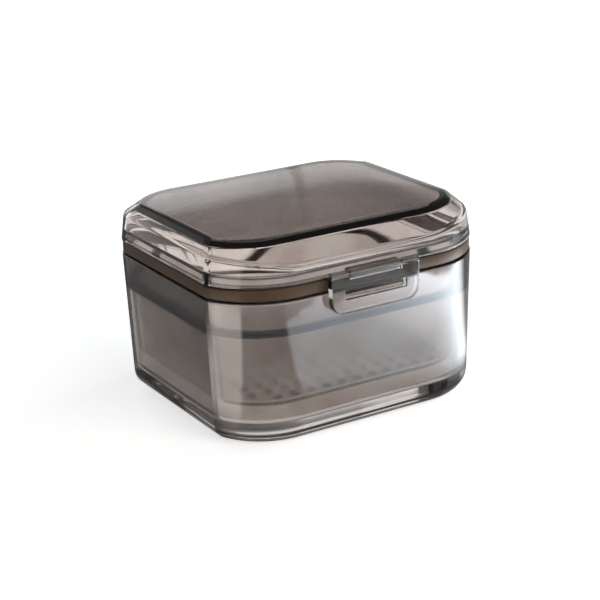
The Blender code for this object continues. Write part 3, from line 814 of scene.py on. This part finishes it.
def make_finishes():
    """Makes the materials of all the pieces."""
    looks = bpy.context.scene.case_looks
    clear = {"Transmission_Weight": 1.0, "IOR": SHELL_IOR}
    milky = {
        "scale": 1400.0,
        "roughness": looks.frosting,
        "spread": 0.1,
        "Transmission_Weight": 0.86,
        "IOR": SHELL_IOR,
    }

    # Polished smoky plastic of the lid and of the box, with painted shade along its outlines and next to
    # the seal, and on the box where it is seen at a slant.
    marks = {"depth": 0.00006, "roughness": looks.polish, "smears": 0.03, "hairlines": 0.03}
    for name, shading in (("smoky_clear", rim_shading), ("smoky_box", slant_shading)):
        polished(name, looks.smoke, shading=shading, **marks, **clear)

    # The frosted inside of the box, with a painted shade line at the basket's rim, and the frosted panel
    # under the lid's satin top.
    inside = {"depth": 0.000004, "mottling": 0.3, "clouds": 1.4, "shading": seat_shading}
    frosted("frosted_inside", looks.frost, **inside, **milky)
    frosted("frosted_panel", looks.panel, depth=0.00003, mottling=1.1, clouds=0.4, **milky)
    frosted(
        "satin_top",
        looks.smoke,
        depth=0.000004,
        scale=1300.0,
        roughness=0.03,
        spread=0.02,
        mottling=1.2,
        clouds=0.2,
        **clear,
    )

    # The sloping edge of that panel, near-black: painted shade for the dark band round the panel.
    frosted(
        "panel_edge_shade",
        looks.panel_edge_shade,
        depth=0.00003,
        scale=1400.0,
        roughness=0.3,
        spread=0.1,
        mottling=0.3,
        Transmission_Weight=0.05,
        Specular_IOR_Level=0.1,
        IOR=SHELL_IOR,
    )

    # Plastic with hardly any smoke: the clip's edges and faces, and what it hangs and hooks on. Its
    # reflections are dimmed on the clip's faces, and most of all on the catch rib and the lid's ear:
    # painted shade over their highlights.
    for name, reflection_share in (("clip_edge", 1.0), ("clip_face", 0.75), ("catch_clear", 0.16)):
        polished(
            name,
            looks.clip,
            depth=0.00002,
            roughness=looks.polish,
            smears=0.02,
            hairlines=0.02,
            Transmission_Weight=1.0,
            IOR=CLIP_IOR,
            Specular_Tint=(reflection_share, reflection_share, reflection_share, 1),
        )

    # The basket, and its thick rim in near-black painted shade.
    frosted(
        "basket_frosted",
        looks.basket,
        depth=0.000006,
        scale=1100.0,
        roughness=0.16,
        spread=0.06,
        mottling=0.2,
        clouds=0.5,
        Transmission_Weight=0.9,
        IOR=CLIP_IOR,
    )
    frosted(
        "basket_rim_shade",
        looks.basket_rim_shade,
        depth=0.00002,
        scale=1100.0,
        roughness=0.45,
        spread=0.1,
        mottling=0.14,
        IOR=CLIP_IOR,
    )

    # The matt silicone and the drawn steel of the pins.
    frosted(
        "brown_silicone",
        looks.seal,
        depth=0.00002,
        scale=1900.0,
        roughness=0.55,
        spread=0.12,
        mottling=0.22,
        clouds=0.8,
        Specular_IOR_Level=0.05,
        Coat_Weight=1.0,
        Coat_Roughness=0.3,
        Coat_IOR=1.22,
    )
    marks = {"depth": 0.00001, "roughness": 0.28, "smears": 0.12, "hairlines": 0.2}
    polished("drawn_steel", looks.steel, Metallic=1.0, **marks)


def finish(name):
    """One of the pieces' materials."""
    if name not in bpy.data.materials:
        make_finishes()
    return bpy.data.materials[name]


# The pieces.


def make_box():
    """Models the clear box."""
    scene = bpy.context.scene
    box, clip = scene.box_sizes, scene.clip_sizes
    place = levels()
    low = box.wall + box.ledge
    rings = [
        (inset_outline(box.taper, 0), box.base_round),
        (inset_outline(0, box.height), box.rim_round),
        (inset_outline(box.wall, box.height), box.rim_round),
        (inset_outline(box.wall, place["ledge"]), FINE_ROUND),
        (inset_outline(low, place["ledge"]), FINE_ROUND),
        (inset_outline(low + box.inside_taper, box.base), box.floor_round),
    ]
    finishes = ("smoky_box", "frosted_inside", "catch_clear")
    piece = skin("case_shell", rings, finishes, others={2: 1, 3: 1, 4: 1, "last": 1})
    rib = block(
        (-box.rib_length / 2, -(place["front"] + box.rib_reach), place["rib_high"] - box.rib_height),
        (box.rib_length / 2, -(place["front"] - box.wall / 2), place["rib_high"]),
        box.edge_round,
    )
    # The rib's dimmed reflections are painted shade over its highlights.
    for face in rib.data.polygons:
        face.material_index = finishes.index("catch_clear")
    carve(piece, rib, "UNION")
    offset = clip.lid_knuckle / 2 + clip.between
    high = box.height - clip.box_arm_drop
    root = place["front"] - box.wall / 3
    span = (root, high - clip.box_arm, high, box.edge_round)
    for middle in (-clip.hinge_spacing / 2, clip.hinge_spacing / 2):
        for sign in (-1, 1):
            start = middle + sign * offset
            stop = start + sign * clip.box_knuckle
            carve(piece, arm(start, stop, place["hinge_axis"], clip.hinge_radius, *span), "UNION")
        carve(piece, hinge_bore(middle), "DIFFERENCE")
    settle(piece, "case_shell", "case_body", "base")


def hinge_bore(middle):
    """The rod that cuts the hole through one hinge."""
    clip = bpy.context.scene.clip_sizes
    centre = levels()["hinge_axis"] + Vector((middle, 0, 0))
    width = clip.lid_knuckle + 2 * (clip.between + clip.box_knuckle) + clip.lid_knuckle
    return barrel(centre, clip.hinge_pin + clip.pin_gap, width)


def lid_rings():
    """The loops of the lid, from the frosted panel round the tongue and the skirt to the top."""
    box, lid = bpy.context.scene.box_sizes, bpy.context.scene.lid_sizes
    place = levels()
    skirt, top = place["skirt"], place["top"]
    front_slope = math.atan2(lid.height - lid.front_skirt, lid.front_bevel)
    side_slope = math.atan2(lid.height - lid.side_skirt, lid.side_bevel)
    front_top = lid.front_taper + lid.front_bevel
    side_top = lid.side_taper + lid.side_bevel
    front_edge = skirt + lid.front_skirt
    side_edge = skirt + lid.side_skirt
    shoulder = skirt + lid.shoulder
    inner = place["tongue_inset"] + lid.tongue
    outer_radius = box.corner_radius - lid.front_taper
    panel_front = front_top + lid.wall * math.tan(front_slope / 2)
    panel_side = side_top + lid.wall * math.tan(side_slope / 2)
    panel_radius = lid.top_radius - lid.wall / 2
    panel = outline(
        panel_front + lid.panel_lip,
        panel_side + lid.panel_lip,
        panel_radius - lid.panel_lip,
        lid.top_crease,
        top - lid.wall,
    )
    panel_lip = outline(
        panel_front - lid.panel_drop / math.tan(front_slope),
        panel_side - lid.panel_drop / math.tan(side_slope),
        panel_radius + lid.panel_drop,
        lid.top_crease,
        top - lid.wall - lid.panel_drop,
    )
    inner_edge = outline(
        lid.wall + lid.front_taper,
        lid.wall + lid.side_taper,
        outer_radius - lid.wall,
        box.crease,
        front_edge - lid.wall * math.tan(math.pi / 4 - front_slope / 2),
        side_edge - lid.wall * math.tan(math.pi / 4 - side_slope / 2),
    )
    outer_edge = outline(lid.front_taper, lid.side_taper, outer_radius, box.crease, front_edge, side_edge)
    return [
        (panel, LIP_ROUND),
        (panel_lip, LIP_ROUND),
        (inner_edge, BEND_ROUND),
        (inset_outline(lid.wall, shoulder + lid.shoulder_slope), FINE_ROUND),
        (inset_outline(inner, shoulder), FINE_ROUND),
        (inset_outline(inner, place["tongue_low"]), FINE_ROUND),
        (inset_outline(place["tongue_inset"], place["tongue_low"]), FINE_ROUND),
        (inset_outline(place["tongue_inset"], skirt), CRISP_ROUND),
        (inset_outline(0, skirt), PLAIN_ROUND),
        (outer_edge, lid.edge_round),
        (outline(front_top, side_top, lid.top_radius, lid.top_crease, top), lid.edge_round),
    ]


def make_lid():
    """Models the bevelled lid."""
    scene = bpy.context.scene
    box, clip = scene.box_sizes, scene.clip_sizes
    place = levels()
    # The panel's sloping edge takes near-black painted shade.
    finishes = ("smoky_clear", "frosted_panel", "panel_edge_shade", "catch_clear", "satin_top")
    others = {"first": 1, 0: 2, "last": 4}
    piece = skin("cover_shell", lid_rings(), finishes, others=others, crease_round=CREASE_ROUND)
    half = clip.width / 2 - clip.knuckle_width - clip.between
    axis, root = place["clip_axis"], EAR_ROOT - place["front"]
    ear = arm(-half, half, axis, clip.knuckle, root, axis.z, axis.z + clip.knuckle, CRISP_ROUND)
    # The ear's dimmed reflections are painted shade over its highlights.
    for face in ear.data.polygons:
        face.material_index = finishes.index("catch_clear")
    carve(piece, ear, "UNION")
    low, root = place["skirt"] + clip.lid_arm_rise, place["front"] - KNUCKLE_ROOT
    span = (root, low, low + clip.lid_arm, box.edge_round)
    for middle in (-clip.hinge_spacing / 2, clip.hinge_spacing / 2):
        start, stop = middle - clip.lid_knuckle / 2, middle + clip.lid_knuckle / 2
        carve(piece, arm(start, stop, place["hinge_axis"], clip.hinge_radius, *span), "UNION")
        carve(piece, hinge_bore(middle), "DIFFERENCE")
    carve(piece, barrel(axis, clip.pin + clip.pin_gap, clip.width), "DIFFERENCE")
    settle(piece, "cover_shell", "lid", "cover")


def make_seal():
    """Models the silicone seal."""
    lid, box = bpy.context.scene.lid_sizes, bpy.context.scene.box_sizes
    place = levels()
    inner = place["tongue_inset"] - box.seat_gap
    rings = [
        (inset_outline(inner, place["seal_low"]), CRISP_ROUND),
        (inset_outline(inner, place["seal_high"]), CRISP_ROUND),
        (inset_outline(lid.seal_recess, place["seal_high"]), lid.seal_round),
        (inset_outline(lid.seal_recess, place["seal_low"]), lid.seal_round),
    ]
    piece = skin("seal_band", rings, ["brown_silicone"], closed=True, segments=5)
    settle(piece, "seal_band", "seal_ring", "cover")


def make_basket():
    """Models the drain basket."""
    box, basket = bpy.context.scene.box_sizes, bpy.context.scene.basket_sizes
    low = levels()["ledge"] + box.seat_gap
    high = low + basket.flange
    rim = box.wall + basket.rim_gap
    outer = box.wall + box.ledge + basket.side_gap
    inner = outer + basket.taper + basket.wall
    bottom = box.base + basket.sump
    floor = bottom + basket.floor
    rings = [
        (inset_outline(outer + basket.taper, bottom), basket.round),
        (inset_outline(outer, low), FINE_ROUND),
        (inset_outline(rim, low), PLAIN_ROUND),
        (inset_outline(rim, high), PLAIN_ROUND),
        (inset_outline(outer + basket.wall, high), RIM_INNER_ROUND),
        (inset_outline(inner, floor), basket.round - basket.wall),
    ]
    # The basket's rim takes near-black painted shade.
    finishes, others = ("basket_frosted", "basket_rim_shade"), {1: 1, 2: 1, 3: 1}
    piece = skin("soaking_basket", rings, finishes, others=others, segments=5)
    carve(piece, hole_rods(inner, bottom, floor), "DIFFERENCE")
    settle(piece, "soaking_basket", "drain_basket", "basket")


def hole_rods(inset, bottom, floor):
    """The rods that cut the drain holes: one rod, repeated along X and Y, and kept inside the floor."""
    box, basket = bpy.context.scene.box_sizes, bpy.context.scene.basket_sizes
    edge = inset + basket.round - basket.wall + basket.margin
    half_width, half_depth = box.width / 2 - edge, box.depth / 2 - edge
    radius = box.corner_radius - edge
    reach = box.corner_radius * math.cos(box.crease) - edge
    columns, rows = int(half_width // basket.pitch), int(half_depth // basket.pitch)
    take()
    bpy.ops.mesh.primitive_cylinder_add(
        vertices=basket.hole_sides,
        radius=basket.hole / 2,
        depth=floor - bottom + 2 * PASS_THROUGH,
        location=(-columns * basket.pitch, -rows * basket.pitch, (bottom + floor) / 2),
    )
    apply_place()
    rods = bpy.context.object
    for face in rods.data.polygons:
        face.material_index = 1
    for direction, count in (((1, 0, 0), columns), ((0, 1, 0), rows)):
        modify(
            rods,
            "ARRAY",
            use_relative_offset=False,
            use_constant_offset=True,
            constant_offset_displace=Vector(direction) * basket.pitch,
            count=2 * count + 1,
        )

    def outside(corner):
        across = abs(round(corner.co.x / basket.pitch)) * basket.pitch - (half_width - reach)
        along_side = abs(round(corner.co.y / basket.pitch)) * basket.pitch - (half_depth - radius)
        far = math.hypot(across, along_side) > radius or across > reach
        return across > 0 and along_side > 0 and far

    bpy.ops.object.mode_set(mode="EDIT")
    pick("VERT", outside)
    bpy.ops.mesh.delete(type="VERT")
    bpy.ops.object.mode_set(mode="OBJECT")
    return rods


def make_clip():
    """Models the clip: a plate with knuckles on top, a notch between them and a window."""
    box, clip = bpy.context.scene.box_sizes, bpy.context.scene.clip_sizes
    place = levels()
    axis, face, back = place["clip_axis"], place["clip_face"], place["clip_back"]
    half = clip.width / 2

    def through(edge):
        return abs(edge.verts[0].co.y - edge.verts[1].co.y) > LEVEL

    def lower_corner(edge):
        return through(edge) and all(vertex.co.z < axis.z - clip.drop / 2 for vertex in edge.verts)

    def outer_edge(edge):
        return not through(edge) and not all(vertex.co.z > axis.z - LEVEL for vertex in edge.verts)

    piece = block((-half, face, axis.z - clip.drop), (half, back, axis.z))
    round_edges(lower_corner, clip.corner, segments=14)
    round_edges(outer_edge, clip.round, segments=4)
    carve(piece, barrel(axis, clip.knuckle, clip.width, CRISP_ROUND), "UNION")
    notch = half - clip.knuckle_width
    notch_low = axis.z - clip.knuckle - clip.between
    window = box.rib_length / 2 + clip.window_gap
    window_low = place["rib_high"] - box.rib_height - clip.window_low
    for reach, low, high in (
        (notch, notch_low, axis.z + 2 * clip.knuckle),
        (window, window_low, window_low + clip.window_height),
    ):
        cut = block((-reach, face - PASS_THROUGH, low), (reach, back + PASS_THROUGH, high))
        carve(piece, cut, "DIFFERENCE")
    carve(piece, barrel(axis, clip.pin + clip.pin_gap, clip.width + 2 * PASS_THROUGH), "DIFFERENCE")
    for side in piece.data.polygons:
        side.material_index = int(abs(side.normal.y) > FACES_FRONT)
    settle(piece, "clip_plate", "latch", "clip", ("clip_edge", "clip_face"), angle=28)


def make_pins():
    """Models the clip's pin and the two hinge pins."""
    clip = bpy.context.scene.clip_sizes
    place = levels()
    width = clip.lid_knuckle + 2 * (clip.between + clip.box_knuckle - clip.pin_inset)
    aside = Vector((clip.hinge_spacing / 2, 0, 0))
    left, right = place["hinge_axis"] - aside, place["hinge_axis"] + aside
    pins = (
        ("clip_rod", "latch_pin", "cover", place["clip_axis"], clip.pin, clip.width - 2 * clip.pin_inset),
        ("hinge_rod_left", "hinge_pin_left", "base", left, clip.hinge_pin, width),
        ("hinge_rod_right", "hinge_pin_right", "base", right, clip.hinge_pin, width),
    )
    for name, node, body, centre, radius, long in pins:
        piece = barrel(centre, radius, long, radius / 4, sides=40)
        settle(piece, name, node, body, ["drawn_steel"], angle=30)


# The studio.


def boxes_mirrored(tree, place, reach, sides, mirror):
    """Painted reflections of the soft boxes: light that the floor gives off to mirrors only, and nothing
    else sees. They fade out near the case, in painted shade.
    """
    looks = bpy.context.scene.case_looks
    edge = ramp(tree, reach, CASE_EDGE, kind="LINEAR")
    near = compute(tree, "MULTIPLY", edge, ramp(tree, reach, NEAR_RISE, NEAR_ENDS, "LINEAR"))
    left_fall = ramp(tree, reach, LEFT_FALL, (1, LEFT_REST))
    skirt_fall = ramp(tree, along(tree, place, (0, -1, 0)), SKIRT_START, (1, looks.skirt_share))
    corner_fall = ramp(tree, along(tree, place, (1, -1, 0)), CORNER_START, (1, 1 - CORNER_FALL))
    right = ramp(tree, along(tree, place, (1, 0, 0)), RIGHT_RISE, (looks.right_start, looks.right_box))
    left = chain(tree, "MULTIPLY", sides["Left"], looks.left_box, left_fall)
    right = chain(tree, "MULTIPLY", sides["Right"], right, skirt_fall, corner_fall)
    return chain(tree, "MULTIPLY", compute(tree, "ADD", left, right), near, mirror)


def make_floor():
    """Lays the pale floor. The camera sees it white, and mirrors see painted reflections of the soft boxes
    in it, which the floor gives off though it is no lamp.
    """
    looks = bpy.context.scene.case_looks
    take()
    bpy.ops.mesh.primitive_plane_add(size=FLOOR_SIZE, location=(0, 0, FLOOR_LEVEL))
    floor = bpy.context.object
    floor.name = "studio_floor"
    apply_place()
    material = bpy.data.materials.new("studio_floor")
    material.use_nodes = True
    tree = material.node_tree
    place = object_place(tree)
    reach = add_node(tree, "VectorMath", {0: place}, operation="LENGTH").outputs["Value"]
    path = add_node(tree, "LightPath").outputs
    camera, passing = path["Is Camera Ray"], path["Is Transmission Ray"]
    mirror = compute(tree, "MAXIMUM", compute(tree, "SUBTRACT", path["Is Glossy Ray"], passing), 0.0)
    sides = add_node(tree, "Group", {"Place": place}, node_tree=shared_group("Studio Sides")).outputs

    # Painted shade: the floor is darker where it is seen through the case's bottom, and in mirrors.
    behind = ramp(tree, along(tree, place, (0, 1, 0)), UNDER_END)
    ahead = compute(tree, "MULTIPLY", compute(tree, "SUBTRACT", 1.0, behind), passing)
    ahead = compute(tree, "MAXIMUM", ahead, mirror)
    near = compute(tree, "MULTIPLY_ADD", ahead, looks.under_share - 1, 1.0)
    shown = compute(tree, "MAXIMUM", camera, compute(tree, "MULTIPLY", near, looks.floor_share))

    # Its own light is white to the camera. Through the case, the floor behind it shows its light.
    horizon = ramp(tree, reach, HORIZON, (looks.floor_white, 1))
    own = compute(tree, "SUBTRACT", looks.floor_glow, mirror)
    own = compute(tree, "MAXIMUM", own, compute(tree, "MULTIPLY", camera, horizon))
    own = compute(tree, "MULTIPLY", compute(tree, "MAXIMUM", own, 0.0), near)
    beyond = chain(tree, "MULTIPLY", behind, passing, looks.behind)
    own = compute(tree, "MAXIMUM", own, beyond)
    light = compute(tree, "ADD", own, boxes_mirrored(tree, place, reach, sides, mirror))

    glow = (1, 1, 1, 1)
    for side, colour in (("Left", looks.left_tint), ("Right", looks.right_tint)):
        glow = mixed(tree, glow, (*colour, 1), compute(tree, "MULTIPLY", sides[side], mirror))
    lit = add_node(tree, "VectorMath", {"Vector": glow, "Scale": light}, operation="SCALE")
    shader = tree.nodes["Principled BSDF"]
    shader.inputs["Roughness"].default_value = 0.8
    shader.inputs["Specular IOR Level"].default_value = 0.0
    shader.inputs["Emission Strength"].default_value = 1.0
    tree.links.new(mixed(tree, (0, 0, 0, 1), (*looks.floor, 1), shown), shader.inputs["Base Color"])
    tree.links.new(lit.outputs["Vector"], shader.inputs["Emission Color"])
    arrange(tree)
    floor.data.materials.append(material)


def window_shading(tree, look):
    """How the window behind the case fades upwards and to the right, with its post as a dark line."""
    looks = bpy.context.scene.case_looks
    across = along(tree, look, (math.cos(looks.window_turn), -math.sin(looks.window_turn), 0))
    tilt = compute(tree, "MINIMUM", compute(tree, "MULTIPLY", across, WINDOW_TILT), WINDOW_TILT_END)
    height = compute(tree, "ADD", tilt, height_of(tree, look))
    window = ramp(tree, height, (looks.window_low, looks.window_high), (1, looks.window_dark))
    post = compute(tree, "SUBTRACT", ramp(tree, across, POST_START), ramp(tree, across, POST_END))
    post = compute(tree, "MULTIPLY_ADD", post, -looks.window_post, 1.0)
    fade = ramp(tree, across, FADE_SPAN, (1, 1 - looks.window_fade))
    return chain(tree, "MULTIPLY", window, post, fade)


def make_world():
    """Makes a soft surround, white to the camera, with the soft boxes and a window behind the case."""
    looks = bpy.context.scene.case_looks
    world = bpy.data.worlds.new("Studio")
    bpy.context.scene.world = world
    world.use_nodes = True
    tree = world.node_tree
    background = tree.nodes["Background"]
    path = add_node(tree, "LightPath").outputs
    look = add_node(tree, "TexCoord").outputs["Generated"]
    sides = add_node(tree, "Group", {"Place": look}, node_tree=shared_group("Studio Sides")).outputs
    wall = ramp(tree, along(tree, look, WALL_SIDE), WALL_RISE)
    wall = chain(tree, "MULTIPLY", wall, looks.back_wall, window_shading(tree, look))
    room = chain(tree, "MAXIMUM", sides["Left"], sides["Right"], wall, looks.dark_side)
    above = ramp(tree, height_of(tree, look), OVERHEAD_RISE, (1, looks.overhead))
    room = compute(tree, "MULTIPLY", room, above)
    seen = compute(tree, "MAXIMUM", path["Is Glossy Ray"], path["Is Transmission Ray"])
    seen = compute(tree, "MULTIPLY_ADD", seen, 1 - looks.room_light, looks.room_light)
    shown = compute(tree, "MAXIMUM", compute(tree, "MULTIPLY", room, seen), path["Is Camera Ray"])
    tree.links.new(shown, background.inputs["Color"])
    background.inputs["Strength"].default_value = 1.0
    arrange(tree)


def add_lamp(name, location, size, power, colour=(1, 1, 1)):
    """Adds a soft square lamp that points at the case. Mirrors and clear plastic don't show it."""
    take()
    bpy.ops.object.light_add(type="AREA", location=location)
    lamp = bpy.context.object
    lamp.name = name
    lamp.rotation_euler = (LAMP_TARGET - Vector(location)).to_track_quat("-Z", "Y").to_euler()
    lamp.data.shape = "SQUARE"
    lamp.data.size = size
    lamp.data.energy = power
    lamp.data.color = colour
    lamp.visible_glossy = False
    lamp.visible_transmission = False


def make_camera():
    """Sets the camera at the photograph's viewpoint."""
    azimuth, elevation, roll = math.radians(-30.388), math.radians(19.223), -0.03707
    target, distance = Vector((0.000016, 0, 0.028159)), 0.527235
    level = math.cos(elevation)
    back = Vector((math.sin(azimuth) * level, -math.cos(azimuth) * level, math.sin(elevation)))
    right = (-back).cross(Vector((0, 0, 1))).normalized()
    up = right.cross(-back)
    across = math.cos(roll) * right + math.sin(roll) * up
    upward = -math.sin(roll) * right + math.cos(roll) * up
    take()
    bpy.ops.object.camera_add(location=target + back * distance)
    camera = bpy.context.object
    camera.name = "studio_camera"
    camera.rotation_mode = "QUATERNION"
    camera.rotation_quaternion = Matrix((across, upward, back)).transposed().to_quaternion()
    camera.data.lens = 98.036
    camera.data.sensor_width = 36
    camera.data.shift_x = 0.00542
    camera.data.clip_start = 0.01
    camera.data.clip_end = 20
    bpy.context.scene.camera = camera


def make_studio():
    """Lays the floor, hangs the lamps and sets the camera."""
    make_floor()
    make_world()
    add_lamp("lamp_right", (0.8, 0.0, 0.3), size=0.7, power=5.0, colour=(0.88, 0.94, 1.0))
    add_lamp("lamp_front", (0.2, -0.82, 0.45), size=0.7, power=4.5, colour=(1.0, 0.96, 0.93))
    add_lamp("lamp_back", (-0.05, 0.75, 0.3), size=0.5, power=2.0)
    make_camera()
    bpy.context.scene.view_settings.view_transform = "Standard"


# The operators and their panel.


class OBJECT_OT_case_box(bpy.types.Operator):
    """Model the clear box with its catch rib and hinge ears"""

    bl_idname = "object.case_box"
    bl_label = "Clear Box"

    def execute(self, context):
        make_box()
        return {"FINISHED"}


class OBJECT_OT_case_lid(bpy.types.Operator):
    """Model the bevelled lid"""

    bl_idname = "object.case_lid"
    bl_label = "Lid"

    def execute(self, context):
        make_lid()
        return {"FINISHED"}


class OBJECT_OT_case_seal(bpy.types.Operator):
    """Model the silicone seal"""

    bl_idname = "object.case_seal"
    bl_label = "Seal"

    def execute(self, context):
        make_seal()
        return {"FINISHED"}


class OBJECT_OT_case_basket(bpy.types.Operator):
    """Model the drain basket"""

    bl_idname = "object.case_basket"
    bl_label = "Drain Basket"

    def execute(self, context):
        make_basket()
        return {"FINISHED"}


class OBJECT_OT_case_clip(bpy.types.Operator):
    """Model the front clip"""

    bl_idname = "object.case_clip"
    bl_label = "Clip"

    def execute(self, context):
        make_clip()
        return {"FINISHED"}


class OBJECT_OT_case_pins(bpy.types.Operator):
    """Model the clip's pin and the hinge pins"""

    bl_idname = "object.case_pins"
    bl_label = "Pins"

    def execute(self, context):
        make_pins()
        return {"FINISHED"}


class OBJECT_OT_case_studio(bpy.types.Operator):
    """Lay the floor, hang the lamps and set the camera"""

    bl_idname = "object.case_studio"
    bl_label = "Studio"

    def execute(self, context):
        make_studio()
        return {"FINISHED"}


SETTINGS = {
    "box_sizes": BoxSizes,
    "lid_sizes": LidSizes,
    "basket_sizes": BasketSizes,
    "clip_sizes": ClipSizes,
    "case_looks": CaseLooks,
}
OPERATORS = (
    OBJECT_OT_case_box,
    OBJECT_OT_case_lid,
    OBJECT_OT_case_seal,
    OBJECT_OT_case_basket,
    OBJECT_OT_case_clip,
    OBJECT_OT_case_pins,
    OBJECT_OT_case_studio,
)


class VIEW3D_PT_denture_case(bpy.types.Panel):
    """The pieces of the case and their settings"""

    bl_label = "Denture Case"
    bl_space_type = "VIEW_3D"
    bl_region_type = "UI"
    bl_category = "Denture Case"

    def draw(self, context):
        for operator in OPERATORS:
            self.layout.operator(operator.bl_idname)
        for name in SETTINGS:
            column = self.layout.column()
            settings = getattr(context.scene, name)
            for prop in settings.bl_rna.properties:
                if prop.identifier not in ("rna_type", "name"):
                    column.prop(settings, prop.identifier)


CLASSES = (*SETTINGS.values(), *OPERATORS, VIEW3D_PT_denture_case)


def register():
    """Registers the settings, operators and panel."""
    for item in CLASSES:
        bpy.utils.register_class(item)
    for name, kind in SETTINGS.items():
        setattr(bpy.types.Scene, name, PointerProperty(type=kind))


def unregister():
    """Removes them again."""
    for name in SETTINGS:
        delattr(bpy.types.Scene, name)
    for item in reversed(CLASSES):
        bpy.utils.unregister_class(item)


def main():
    """Models every piece and the studio."""
    register()
    bpy.ops.object.case_box()
    bpy.ops.object.case_lid()
    bpy.ops.object.case_seal()
    bpy.ops.object.case_basket()
    bpy.ops.object.case_clip()
    bpy.ops.object.case_pins()
    bpy.ops.object.case_studio()


if __name__ == "__main__":
    main()
